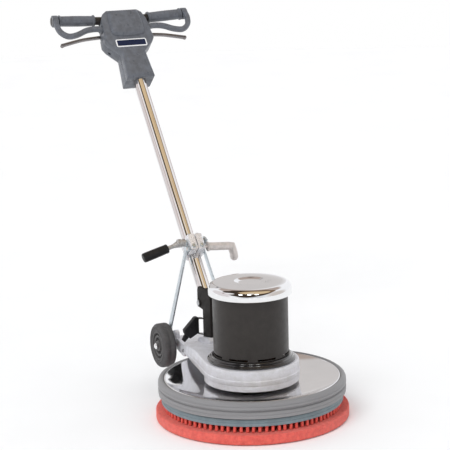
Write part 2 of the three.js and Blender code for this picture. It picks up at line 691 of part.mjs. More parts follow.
// Round bar that carries the coiled cord, bent down at its end.
function cordHook() {
  const start = inMachine(HOOK.x, 0, HOOK.z);
  const inner = STAY_TOP_Y + STAY_THICK + 2;
  const reach = 103;
  const points = [[0, inner, 0], [0, 60, -3], [0, 90, -5.5], [0, reach, -11], [0, reach + 6, -24], [0, reach + 8, -48]];
  const bar = alongPath(points, circleShape(11.5, SMALL), 10).translate(start.x, 0, start.z);
  const stud = rodY(5, -31, inner + 4, SMALL, start.x, start.z);
  return join(bar, stud);
}

function hookNut() {
  return cut(rodY(9, -30, -COLLAR_HALF - GAP, HEX), rodY(5 + GAP, -40, 0, SMALL)).translate(HOOK.x, 0, HOOK.z);
}

// Flat bar from the clamp bolt to the base, spread outwards towards its foot, with a stud that sits in the base's ear.
function stayBar(side) {
  const top = inMachine(CLAMP_BOLT.x, side * (STAY_TOP_Y + STAY_THICK / 2), CLAMP_BOLT.z);
  const foot = new THREE.Vector3(STAY_FOOT.x, side * (STAY_FOOT_Y + STAY_THICK / 2), STAY_FOOT.z);
  const length = Math.hypot(top.x - foot.x, top.z - foot.z);
  const kneeTop = 22;
  const kneeFoot = length - 22;
  const spread = foot.y - top.y;
  const half = side * STAY_THICK / 2;
  const inner = [[0, -half], [kneeTop, -half], [kneeFoot, spread - half], [length, spread - half]];
  const outer = [[length, spread + half], [kneeFoot, spread + half], [kneeTop, half], [0, half]];
  const corners = [...inner, ...outer];
  const edge = outline(side < 0 ? corners.reverse() : corners);
  const wideFrom = 2 * kneeTop;
  const widening = outline([[0, -STAY_TOP_HALF_WIDTH], [wideFrom, -STAY_TOP_HALF_WIDTH], [length, -STAY_FOOT_HALF_WIDTH],
    [length, STAY_FOOT_HALF_WIDTH], [wideFrom, STAY_TOP_HALF_WIDTH], [0, STAY_TOP_HALF_WIDTH]]);
  const strip = common(extrudeUp(edge, -STAY_FOOT_HALF_WIDTH, STAY_FOOT_HALF_WIDTH),
    extrudeAcross(widening, -STAY_FOOT_Y, STAY_FOOT_Y));
  const eyes = [[0, 0, STAY_TOP_HALF_WIDTH], [length, spread, STAY_FOOT_HALF_WIDTH]].map(([along, out, radius]) => {
    return rodY(radius, out - STAY_THICK / 2, out + STAY_THICK / 2, COARSE, along, 0);
  });
  const studFaces = [spread, spread - side * 8.5].sort((a, b) => a - b);
  const stud = rodY(4, studFaces[0], studFaces[1], SMALL, length, 0);
  const body = cut(join(strip, ...eyes, stud), rodY(6 + GAP, -10, 10, SMALL, 0, 0));
  const down = new THREE.Vector3(foot.x - top.x, 0, foot.z - top.z).normalize();
  const across = new THREE.Vector3(0, 1, 0);
  const turn = new THREE.Matrix4().makeBasis(down, across, new THREE.Vector3().crossVectors(down, across));
  return body.applyMatrix4(turn).translate(top.x, top.y, top.z);
}

machine.updateMatrixWorld(true);
piece('handle_tube', handleTube(), CHROME, handle);
for (const side of SIDES) {
  const label = side < 0 ? 'right' : 'left';
  piece(`collar_${label}`, collarHalf(side), ZINC, handle);
  piece(`stay_bar_${label}`, stayBar(side), ZINC);
}
piece('clamp_bolt', clampBolt(), ZINC, handle);
piece('hook_nut', hookNut(), ZINC, handle);
piece('clamp_lever', clampLever(), ZINC);
piece('lever_grip', leverGrip(), BLACK_PLASTIC);
piece('cord_hook', cordHook(), HOOK_METAL);

// ---------------------------------------------------------------- switch housing

// Half of the housing's outline from the top down; the other half mirrors it.
const HEAD_HALF = [[48, HEAD_TOP_Z], [62, 957], [71, 934], [77, 864], [68, 849], [37, 818], [40, 770],
  [43, HEAD_FOOT_Z]];

function headShape(inset) {
  const left = HEAD_HALF.map(([y, z]) => [y - inset, z - (z > BAR_Z ? inset : 0)]);
  const right = left.map(([y, z]) => [-y, z]).reverse();
  return outline([...right, ...left].reverse());
}

function headRearX(z) {
  return HEAD_REAR_FOOT_X + (HEAD_REAR_TOP_X - HEAD_REAR_FOOT_X) * (z - HEAD_FOOT_Z) / (HEAD_TOP_Z - HEAD_FOOT_Z);
}

// All that lies behind the housing's rear face, or behind a plane some way in front of it.
function behindHead(forward) {
  const low = HEAD_FOOT_Z - 20;
  const high = HEAD_TOP_Z + 20;
  const far = HEAD_REAR_FOOT_X - 30;
  return extrudeAcross(outline([[far, low], [headRearX(low) + forward, low], [headRearX(high) + forward, high],
    [far, high]]), -100, 100);
}

// Everything that passes through the housing's walls.
function headOpenings() {
  const openings = [
    disc(TUBE_R + GAP, HEAD_FOOT_Z - 20, TUBE_TOP + GAP, MEDIUM),
    rodY(BAR_R + 2.5, -90, 90, COARSE, 0, BAR_Z + 3),
  ];
  for (const side of SIDES) {
    const faces = [side * 20, side * 90].sort((a, b) => a - b);
    openings.push(box(TRIGGER_PIVOT.x - 6.5, TRIGGER_PIVOT.x + 6.5, ...faces, 888, 922));
  }
  return openings;
}

function headFront() {
  const front = extrudeForward(headShape(0), SPLIT_X, HEAD_FRONT_X - 6);
  const raisedLower = extrudeForward(headShape(6), SPLIT_X, HEAD_FRONT_X);
  const hood = outline([[-50, 876], [50, 876], [46, 960], [-46, 960]]);
  const raisedHood = extrudeForward(hood, SPLIT_X, HEAD_FRONT_X + 10);
  const pocket = extrudeForward(headShape(10), SPLIT_X - 1, HEAD_FRONT_X - 10);
  const guardSlots = SIDES.map((side) => {
    const faces = [side * 50, side * 90].sort((a, b) => a - b);
    return box(SPLIT_X - 1, GUARD_X + 9, ...faces, 895, 921);
  });
  return cut(join(front, raisedLower, raisedHood), pocket, ...headOpenings(), ...guardSlots);
}

function headRear() {
  const rear = cut(extrudeForward(headShape(0), HEAD_REAR_FOOT_X, SPLIT_X - GAP), behindHead(8));
  const raised = cut(extrudeForward(headShape(9), HEAD_REAR_FOOT_X, SPLIT_X - GAP), behindHead(0));
  const pocket = cut(extrudeForward(headShape(13), HEAD_REAR_FOOT_X, SPLIT_X), behindHead(4));
  const lockHole = rodX(9 + GAP, LOCK_X - 4, LOCK_X + 8, COARSE, 0, TRIGGER_PIVOT.z);
  return cut(join(rear, raised), pocket, ...headOpenings(), lockHole);
}

function handlebar() {
  const rise = BAR_HALF * Math.tan(BAR_RISE);
  const path = new THREE.CurvePath();
  const ends = SIDES.map((side) => new THREE.Vector3(0, side * BAR_HALF, BAR_Z + rise));
  const middle = new THREE.Vector3(0, 0, BAR_Z);
  path.add(new THREE.LineCurve3(ends[0], middle));
  path.add(new THREE.LineCurve3(middle, ends[1]));
  return new THREE.ExtrudeGeometry(circleShape(BAR_R, COARSE), { steps: 2, extrudePath: path, bevelEnabled: false });
}

function grip(side) {
  const inner = 84;
  const outer = 194;
  const rim = 2.5;
  const profile = [[BAR_R + GAP, inner], [GRIP_R + rim, inner], [GRIP_R + rim, inner + 5], [GRIP_R, inner + 7],
    [GRIP_R, outer - 7], [GRIP_R + rim, outer - 5], [GRIP_R + rim, outer], [BAR_R + GAP, outer], [BAR_R + GAP, inner]];
  return turned(profile, COARSE).rotateX(-side * QUARTER);
}

// Loop that shields the fingers: from an eye on the bar's end, round and back into the housing.
function guard(side) {
  const x = GUARD_X;
  const points = [[x, 204, 952], [x, 207, 932], [x, 200, 908], [x, 180, 892], [x, 152, 896],
    [x, 120, 909], [x, 90, 912], [x, 70, 908]].map(([px, y, z]) => [px, side * y, z]);
  const section = outline([[-8, -5], [-5, -8], [5, -8], [8, -5], [8, 5], [5, 8], [-5, 8], [-8, 5]]);
  const loop = alongPath(points, section, 14);
  const eyeZ = BAR_Z + 205 * Math.tan(BAR_RISE);
  const eye = rodY(GRIP_R + 2, side < 0 ? -212 : 196, side < 0 ? -196 : 212, COARSE, 0, eyeZ);
  const bar = rodY(BAR_R + 1, side < 0 ? -260 : 100, side < 0 ? -100 : 260, COARSE, 0, eyeZ);
  return cut(join(eye, loop), bar);
}

// Thin lever that is squeezed up towards the grip.
function trigger(side) {
  const shape = outline([[30, 903], [58, 901], [120, 896], [196, 880], [197, 887], [122, 904], [60, 909], [30, 909]]
    .map(([y, z]) => [side * y, z]));
  const lever = extrudeForward(shape, TRIGGER_PIVOT.x - 5, TRIGGER_PIVOT.x + 5);
  const tip = rodX(5.5, TRIGGER_PIVOT.x - 6, TRIGGER_PIVOT.x + 6, SMALL, side * 194, 884);
  return join(lever, tip);
}

piece('head_front_cover', headFront(), GREY_PLASTIC, handle);
piece('head_rear_cover', headRear(), GREY_PLASTIC, handle);
const plateShape = outline([[-48, 834], [48, 834], [48, 861], [-48, 861]]);
piece('name_plate', extrudeForward(plateShape, HEAD_FRONT_X + GAP, HEAD_FRONT_X + 2),
  ['#2a3a66', 0.4, 0], handle);
piece('handlebar', handlebar(), STEEL, handle);
for (const side of SIDES) {
  const label = side < 0 ? 'right' : 'left';
  const arm = new THREE.Group();
  arm.position.z = BAR_Z;
  arm.rotation.x = side * BAR_RISE;
  handle.add(arm);
  piece(`grip_${label}`, grip(side), GREY_PLASTIC, arm);
  piece(`guard_${label}`, guard(side), GREY_PLASTIC, handle);
  piece(`trigger_${label}`, trigger(side), STEEL, handle);
}
piece('switch_block', box(-22, 0, -34, 34, TUBE_TOP + 4, TUBE_TOP + 20), BLACK_PLASTIC, handle);
piece('lock_button', rodX(9, LOCK_X - 6, LOCK_X + 6, COARSE, 0, TRIGGER_PIVOT.z), ['#c23a2c', 0.5, 0], handle);
piece('cord_gland', rodX(10, headRearX(GLAND_Z) - 19, headRearX(GLAND_Z) - 1.5, HEX, 0, GLAND_Z), BLACK_PLASTIC, handle);

machine.updateMatrixWorld(true);

export default machine;
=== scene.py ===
"""Looks of the rotary floor machine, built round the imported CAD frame.

Shapes are lists of (points, faces) in millimetres. A matrix called a place turns them into metres in the
machine's frame: MACHINE for the base, HANDLE for whatever sits on the leaning tube.
"""

import json
import math
import random

import bmesh
import bpy
from mathutils import Matrix, Vector, noise


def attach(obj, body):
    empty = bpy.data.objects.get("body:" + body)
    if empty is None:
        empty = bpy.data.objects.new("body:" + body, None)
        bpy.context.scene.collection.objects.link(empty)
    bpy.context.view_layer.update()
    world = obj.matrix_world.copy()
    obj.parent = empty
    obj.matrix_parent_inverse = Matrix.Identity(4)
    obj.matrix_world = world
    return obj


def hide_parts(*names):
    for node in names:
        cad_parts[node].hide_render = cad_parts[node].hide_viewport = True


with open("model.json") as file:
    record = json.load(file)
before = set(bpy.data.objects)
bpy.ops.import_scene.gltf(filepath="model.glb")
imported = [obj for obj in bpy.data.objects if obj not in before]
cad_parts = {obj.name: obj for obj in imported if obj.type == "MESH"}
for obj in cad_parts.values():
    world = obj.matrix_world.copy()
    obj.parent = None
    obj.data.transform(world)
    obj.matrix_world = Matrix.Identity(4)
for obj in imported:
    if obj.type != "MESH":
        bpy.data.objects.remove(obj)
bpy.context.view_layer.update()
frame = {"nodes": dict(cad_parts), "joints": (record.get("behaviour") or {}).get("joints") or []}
random.seed(7)

MM = 0.001
SIDES = {"right": -1, "left": 1}
FINE = 192
ROUND = 64
SMALL = 32

joints = {joint["name"]: joint for joint in frame["joints"]}
MACHINE = Matrix.Diagonal((MM, MM, MM, 1))


def axes(x_axis, y_axis, z_axis, origin):
    columns = Matrix((x_axis, y_axis, z_axis)).transposed()
    return Matrix.Translation(origin) @ columns.to_4x4()


tube_up = Vector(joints["collar_slide"]["axis"]).normalized()
tube_out = Vector(joints["trigger_squeeze_left"]["axis"]).normalized()
HANDLE = axes(tube_out, Vector((0, 1, 0)), tube_up, Vector(joints["handle_tilt"]["pos_m"])) @ MACHINE

ALONG_Y = Matrix.Rotation(math.radians(-90), 4, "X")
ALONG_X = Matrix.Rotation(math.radians(90), 4, "Y")
BACKWARD = Matrix.Rotation(math.radians(-90), 4, "Y")
# ACROSS is for outlines drawn in X and Z and thick along Y, FORWARD for those in Y and Z, thick along X.
ACROSS = Matrix(((1, 0, 0, 0), (0, 0, 1, 0), (0, 1, 0, 0), (0, 0, 0, 1)))
FORWARD = Matrix(((0, 0, 1, 0), (1, 0, 0, 0), (0, 1, 0, 0), (0, 0, 0, 1)))


def span(node, place=MACHINE):
    """Lowest and highest corner of a CAD node, in millimetres in a place's own frame."""
    inverse = place.inverted()
    points = [inverse @ vertex.co for vertex in frame["nodes"][node].data.vertices]
    low = Vector([min(point[i] for point in points) for i in range(3)])
    high = Vector([max(point[i] for point in points) for i in range(3)])
    return low, high


# ---------------------------------------------------------------- camera, light and floor

def make_camera():
    yaw, pitch, roll = 0.412, 0.208, 0.026
    side = Vector((math.sin(yaw), math.cos(yaw), 0))
    level_back = Vector((math.cos(yaw), -math.sin(yaw), 0))
    up = Vector((0, 0, 1))
    back = level_back * math.cos(pitch) + up * math.sin(pitch)
    tilted_up = up * math.cos(pitch) - level_back * math.sin(pitch)
    right = side * math.cos(roll) - tilted_up * math.sin(roll)
    top = tilted_up * math.cos(roll) + side * math.sin(roll)
    camera = bpy.data.objects.new("camera", bpy.data.cameras.new("camera"))
    camera.data.lens = 136.36
    camera.data.clip_end = 50
    camera.matrix_world = axes(right, top, back, Vector((3.9009, -1.7702, 1.4138)))
    bpy.context.scene.collection.objects.link(camera)
    bpy.context.scene.camera = camera


def feed(tree, socket, value):
    """Links another node's output to a socket, or sets the socket to a number, a vector or a colour."""
    if isinstance(value, bpy.types.NodeSocket):
        tree.links.new(value, socket)
    elif socket.type == "RGBA":
        socket.default_value = (*value, 1)
    else:
        socket.default_value = value


def add_node(tree, kind, inputs=None, **settings):
    node = tree.nodes.new("ShaderNode" + kind)
    for name, value in settings.items():
        setattr(node, name, value)
    for name, value in (inputs or {}).items():
        feed(tree, node.inputs[name], value)
    return node.outputs


def mixed(tree, share, first, second):
    inputs = {"Factor": share, "A": first, "B": second}
    return add_node(tree, "Mix", inputs, data_type="RGBA")["Result"]


# Soft round patches laid over the sky in turn: direction, inner and outer angle in degrees, and colour.
SKY_PATCHES = [
    ((-0.25, 0.10, 0.96), 34, 42, (0.46, 0.38, 0.34)),
    ((-0.93, 0.12, 0.30), 19, 25, (0.64, 0.61, 0.60)),
    ((0.55, 0.80, 0.10), 10, 42, (0.66, 0.60, 0.56)),
    ((0.90, -0.30, 0.05), 12, 50, (0.72, 0.73, 0.76)),
    ((0.42, -0.30, 0.85), 54, 58, (0.055, 0.040, 0.030)),
    ((0.28, 0.14, 0.95), 33, 36, (0.20, 0.13, 0.08)),
    ((0.30, 0.04, 0.95), 26, 31, (0.70, 0.53, 0.33)),
    ((-0.40, -0.90, 0.15), 24, 38, (0.78, 0.73, 0.74)),
    ((-0.02, -0.80, 0.60), 11, 14, (0.90, 0.87, 0.88)),
    ((-0.26, -0.88, 0.38), 3, 5, (0.42, 0.33, 0.33)),
    ((0.50, -0.20, 0.84), 6, 9, (0.86, 0.84, 0.82)),
    ((0.78, -0.05, 0.62), 4, 6, (6.0, 6.0, 6.0)),
    ((0.72, -0.36, 0.60), 4, 6, (6.0, 6.0, 6.0)),
    ((0.50, -0.66, 0.56), 4, 6, (6.0, 6.0, 6.0)),
]


def make_sky():
    """A plain white studio; only reflections show its brown ceiling and the lamps over the camera."""
    world = bpy.data.worlds.new("studio")
    bpy.context.scene.world = world
    world.use_nodes = True
    tree = world.node_tree
    tree.nodes.clear()
    direction = add_node(tree, "TexCoord")["Generated"]
    sky = (0.98, 0.98, 1.0)
    for facing, inner, outer, colour in SKY_PATCHES:
        toward = {0: direction, 1: Vector(facing).normalized()}
        cosine = add_node(tree, "VectorMath", toward, operation="DOT_PRODUCT")["Value"]
        rim, core = math.cos(math.radians(outer)), math.cos(math.radians(inner))
        limits = {"Value": cosine, "From Min": rim, "From Max": core}
        share = add_node(tree, "MapRange", limits, interpolation_type="SMOOTHSTEP")["Result"]
        sky = mixed(tree, share, sky, colour)
    path = add_node(tree, "LightPath")
    plain = mixed(tree, path["Is Camera Ray"], (0.84, 0.84, 0.84), (1, 1, 1))
    light = mixed(tree, path["Is Glossy Ray"], plain, sky)
    surface = add_node(tree, "Background", {"Color": light})["Background"]
    add_node(tree, "OutputWorld", {"Surface": surface})


def make_lamps():
    soft = bpy.data.lights.new("soft_key", "SUN")
    soft.energy = 1.1
    soft.angle = math.radians(30)
    lamp = bpy.data.objects.new("soft_key", soft)
    lamp.rotation_euler = Vector((0.45, -0.75, 0.9)).to_track_quat("Z", "Y").to_euler()
    lamp.visible_glossy = False
    bpy.context.scene.collection.objects.link(lamp)


# ---------------------------------------------------------------- shapes

def moved(shape, *matrices):
    points, faces = shape
    for matrix in matrices:
        points = [matrix @ Vector(point) for point in points]
    return points, faces


def shift(x=0, y=0, z=0):
    return Matrix.Translation((x, y, z))


def merge(*shapes):
    points, faces = [], []
    for some_points, some_faces in shapes:
        faces += [[corner + len(points) for corner in face] for face in some_faces]
        points += list(some_points)
    return points, faces


def from_rim(radius, height, points):
    """A stretch of a profile, given as distances inwards from a radius and upwards from a height."""
    return [(radius - inward, height + up) for inward, up in points]


def lathe(profile, steps=ROUND):
    """Revolves (radius, height) points about Z, closing the loop if they start off the axis."""
    points, rings, faces = [], [], []
    for radius, height in profile:
        if radius < 1e-6:
            rings.append([len(points)] * steps)
            points.append(Vector((0, 0, height)))
            continue
        rings.append(list(range(len(points), len(points) + steps)))
        for step in range(steps):
            angle = 2 * math.pi * step / steps
            points.append(Vector((radius * math.cos(angle), radius * math.sin(angle), height)))
    pairs = list(zip(rings, rings[1:]))
    if profile[0][0] > 1e-6:
        pairs.append((rings[-1], rings[0]))
    for low, high in pairs:
        for step in range(steps):
            after = (step + 1) % steps
            face = list(dict.fromkeys([low[step], low[after], high[after], high[step]]))
            if len(face) > 2:
                faces.append(face)
    return points, faces


def rod(radius, low, high, steps=SMALL, edge=0.0):
    """A solid round bar along Z with rounded rims."""
    edge = max(edge, 0.02 * radius)
    inner, nearly, small = radius - edge, radius - 0.3 * edge, 0.3 * edge
    return lathe([(0, low), (inner, low), (nearly, low + small), (radius, low + edge), (radius, high - edge),
                  (nearly, high - small), (inner, high), (0, high)], steps)


def skinned(rows):
    """A closed solid round rows of points, with as many points in each row."""
    count = len(rows[0])
    points = [point for row in rows for point in row]
    faces = []
    for start in range(0, len(points) - count, count):
        for i in range(count):
            j = (i + 1) % count
            faces.append([start + i, start + j, start + count + j, start + count + i])
    faces.append(list(range(count))[::-1])
    faces.append(list(range(len(points) - count, len(points))))
    return points, faces


def stack(layers):
    """Joins outlines of the same count into a closed solid; each layer is (outline, height)."""
    return skinned([[Vector((u, v, height)) for u, v in outline] for outline, height in layers])


def prism(outline, low, high):
    return stack([(outline, low), (outline, high)])


def round_corners(outline, radius, steps=4):
    """Replaces each corner of a closed outline by a short curve."""
    result = []
    count = len(outline)
    for i in range(count):
        corner = Vector(outline[i])
        back = Vector(outline[i - 1]) - corner
        ahead = Vector(outline[(i + 1) % count]) - corner
        start = corner + back.normalized() * min(radius, 0.45 * back.length)
        end = corner + ahead.normalized() * min(radius, 0.45 * ahead.length)
        for step in range(steps + 1):
            t = step / steps
            result.append(tuple((1 - t) ** 2 * start + 2 * t * (1 - t) * corner + t * t * end))
    return result


def inset(outline, distance):
    """Moves an anticlockwise outline inwards by a distance."""
    result = []
    count = len(outline)
    for i in range(count):
        here = Vector(outline[i])
        before = (here - Vector(outline[i - 1])).normalized()
        after = (Vector(outline[(i + 1) % count]) - here).normalized()
        normal = Vector((-before.y - after.y, before.x + after.x))
        if normal.length < 1e-6:
            result.append(tuple(here))
            continue
        normal.normalize()
        square = max(0.4, normal.dot(Vector((-before.y, before.x))))
        result.append(tuple(here + normal * distance / square))
    return result


def layered(outline, radius, layers):
    """A stack along X of an outline in Y and Z with rounded corners; each layer is (inset, X)."""
    stacked = stack([(round_corners(inset(outline, distance), radius), x) for distance, x in layers])
    return moved(stacked, FORWARD)


def mirrored(half):
    """A whole outline from its +Y half, given from the top down; it runs anticlockwise."""
    return [(-y, z) for y, z in half] + [(y, z) for y, z in reversed(half)]


def arc(radius, start, end, steps, centre=(0, 0)):
    angles = [math.radians(start + (end - start) * step / steps) for step in range(steps + 1)]
    return [(centre[0] + radius * math.cos(a), centre[1] + radius * math.sin(a)) for a in angles]


def rectangle(x_low, x_high, y_low, y_high):
    return [(x_low, y_low), (x_high, y_low), (x_high, y_high), (x_low, y_high)]


def side_rectangle(side, near, far, low, high):
    """A rectangle in Y and Z that lies from near to far on one side of the middle."""
    return rectangle(*sorted((side * near, side * far)), low, high)


def outward(side):
    """Turns Z to point away from the middle on one side."""
    return Matrix.Rotation(-side * math.pi / 2, 4, "X")


def crosswise(shape, x=0, z=0):
    """Turns what was drawn along Z to lie along Y."""
    return moved(shape, ALONG_Y, shift(x, 0, z))


def upright(outline, low, high):
    return moved(prism(outline, low, high), ACROSS)


def frontal(outline, low, high):
    return moved(prism(outline, low, high), FORWARD)


def curve_through(points, steps):
    """Points along a smooth curve through the given ones."""
    points = [Vector(point) for point in points]
    padded = [2 * points[0] - points[1], *points, 2 * points[-1] - points[-2]]
    result = []
    for a, b, c, d in zip(padded, padded[1:], padded[2:], padded[3:]):
        for step in range(steps):
            t = step / steps
            result.append(0.5 * (2 * b + (c - a) * t + (2 * a - 5 * b + 4 * c - d) * t * t
                                 + (3 * b - a - 3 * c + d) * t ** 3))
    return result + [points[-1]]


def sweep(path, section, scales=None, up=Vector((1, 0, 0))):
    """Runs a section along a path, with mitred corners; each point may have its own scale."""
    rows = []
    for i, here in enumerate(path):
        before = (here - path[i - 1]).normalized() if i else (path[1] - here).normalized()
        after = (path[i + 1] - here).normalized() if i < len(path) - 1 else before
        along = (before + after).normalized()
        scale = scales[i] if scales else 1
        stretch = 1 / max(0.5, along.dot(before))
        side = along.cross(up).normalized()
        rows.append([here + side * a * scale * stretch + up * b * scale for a, b in section])
    return skinned(rows)


def hexagon(across, low, high, chamfer=1.0):
    """A hex nut or bolt head along Z, with chamfered corners."""
    radius = across / math.sqrt(3)
    full = arc(radius, 0, 300, 5)
    small = arc(radius - chamfer, 0, 300, 5)
    return stack([(small, low), (full, low + 0.6 * chamfer), (full, high - 0.6 * chamfer), (small, high)])


# ---------------------------------------------------------------- pieces

def object_from(name, shape, place):
    points, faces = shape
    mesh = bpy.data.meshes.new(name)
    mesh.from_pydata([place @ Vector(point) for point in points], [], faces)
    work = bmesh.new()
    work.from_mesh(mesh)
    bmesh.ops.recalc_face_normals(work, faces=work.faces)
    work.to_mesh(mesh)
    work.free()
    thing = bpy.data.objects.new(name, mesh)
    bpy.context.scene.collection.objects.link(thing)
    return thing


def apply_modifiers(thing):
    graph = bpy.context.evaluated_depsgraph_get()
    made = bpy.data.meshes.new_from_object(thing.evaluated_get(graph))
    thing.modifiers.clear()
    thing.data = made


def carve(thing, shapes, place, operation):
    for shape in shapes:
        tool = object_from("tool", shape, place)
        step = thing.modifiers.new("carve", "BOOLEAN")
        step.operation = operation
        step.solver = "EXACT"
        step.object = tool
        apply_modifiers(thing)
        bpy.data.objects.remove(tool)


def piece(name, body, slot, shape, place=MACHINE, stands_for=(), joined=(), cut=(), bevel=0.0, segments=2,
          smooth=38):
    """Makes one visible piece, in its material, riding on its body."""
    thing = object_from(name, shape, place)
    carve(thing, joined, place, "UNION")
    carve(thing, cut, place, "DIFFERENCE")
    if bevel:
        soften = thing.modifiers.new("bevel", "BEVEL")
        soften.width = bevel * MM
        soften.segments = segments
        soften.limit_method = "ANGLE"
        soften.angle_limit = math.radians(32)
        soften.harden_normals = False
        apply_modifiers(thing)
    for polygon in thing.data.polygons:
        polygon.use_smooth = True
    thing.data.set_sharp_from_angle(angle=math.radians(smooth))
    thing.data.materials.clear()
    thing.data.materials.append(FINISHES[slot])
    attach(thing, body)
    if stands_for:
        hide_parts(*stands_for)
    return thing


# ---------------------------------------------------------------- materials

class Look:
    """A material being wired up, with lengths in metres. A grain stretches its noises along an axis."""

    def __init__(self, name, colour, roughness, metallic=0.0, grain=None, turn=(0, 0, 0), **sockets):
        self.material = bpy.data.materials.new(name)
        self.material.use_nodes = True
        self.tree = self.material.node_tree
        self.shader = self.tree.nodes["Principled BSDF"].inputs
        self.colour = colour
        self.roughness = roughness
        for socket, value in {"Metallic": metallic, **sockets}.items():
            feed(self.tree, self.shader[socket.replace("_", " ")], value)
        self.place = self.plain_place = add_node(self.tree, "TexCoord")["Object"]
        if grain:
            inputs = {"Vector": self.place, "Rotation": turn, "Scale": grain}
            self.place = add_node(self.tree, "Mapping", inputs, vector_type="TEXTURE")["Vector"]
        self.normal = None

    def ungrained(self):
        """Leaves the grain out of what follows."""
        self.place = self.plain_place
        return self

    def noise(self, size, detail=4.0, roughness=0.6):
        inputs = {"Vector": self.place, "Scale": 1 / size, "Detail": detail, "Roughness": roughness}
        return add_node(self.tree, "TexNoise", inputs)["Fac"]

    def ranged(self, value, low, high, to_low=0, to_high=1):
        inputs = {"Value": value, "From Min": low, "From Max": high, "To Min": to_low, "To Max": to_high}
        return add_node(self.tree, "MapRange", inputs)["Result"]

    def paint(self, share, first, second):
        """Sets the surface colour to a mix of two."""
        self.base = mixed(self.tree, share, first, second)
        feed(self.tree, self.shader["Base Color"], self.base)
        return self

    def mottle(self, variation, size, tint=(1, 1, 1)):
        """Sets the colour, lighter and darker in soft patches; the light ones lean towards the tint."""
        dark = tuple(c * (1 - variation) for c in self.colour)
        light = tuple(min(1, c * (1 + variation) * t) for c, t in zip(self.colour, tint))
        return self.paint(self.ranged(self.noise(size), 0.3, 0.7), dark, light)

    def blotch(self, colour, size, low, high):
        """Lays a second colour over the first where its noise is high."""
        return self.paint(self.ranged(self.noise(size, 6.0, 0.65), low, high), self.base, colour)

    def gloss(self, spread, size):
        """Lets the roughness vary by a spread either way."""
        smooth, rough = max(0.02, self.roughness - spread), min(1, self.roughness + spread)
        value = self.ranged(self.noise(size, 5.0, 0.6), 0.3, 0.7, smooth, rough)
        feed(self.tree, self.shader["Roughness"], value)
        return self

    def raise_by(self, height, depth):
        """Adds a bump to those laid before it."""
        inputs = {"Height": height, "Distance": depth, "Strength": 1.0}
        if self.normal:
            inputs["Normal"] = self.normal
        self.normal = add_node(self.tree, "Bump", inputs)["Normal"]
        feed(self.tree, self.shader["Normal"], self.normal)
        return self

    def bump(self, depth, size, detail=4.0, roughness=0.6):
        return self.raise_by(self.noise(size, detail, roughness), depth)

    def cells(self, depth, size):
        """A bump of small round cells."""
        inputs = {"Vector": self.place, "Scale": 1 / size}
        return self.raise_by(add_node(self.tree, "TexVoronoi", inputs)["Distance"], depth)


def pad_looks():
    return {
        "pad_red": Look("pad_fibre", (0.87, 0.085, 0.07), 0.95, Sheen_Weight=0.5, Sheen_Roughness=0.6,
                        Sheen_Tint=(1, 0.55, 0.5))
        .mottle(0.16, 0.012, (1.1, 1.5, 1.4)).blotch((0.98, 0.27, 0.21), 0.0016, 0.50, 0.74)
        .blotch((0.55, 0.022, 0.025), 0.0024, 0.60, 0.80).gloss(0.04, 0.01)
        .bump(0.0022, 0.0022, 6.0, 0.75).cells(0.0010, 0.0016),
        "bristle_red": Look("bristle_nylon", (0.78, 0.075, 0.06), 0.5, grain=(1, 1, 12))
        .mottle(0.3, 0.0012, (1.05, 1.7, 1.6)).gloss(0.12, 0.002).bump(0.0005, 0.0007),
        "driver_blue": Look("driver_moulding", (0.175, 0.225, 0.250), 0.5)
        .mottle(0.13, 0.03).blotch((0.27, 0.33, 0.355), 0.006, 0.58, 0.78).gloss(0.1, 0.02)
        .bump(0.00025, 0.0015),
    }


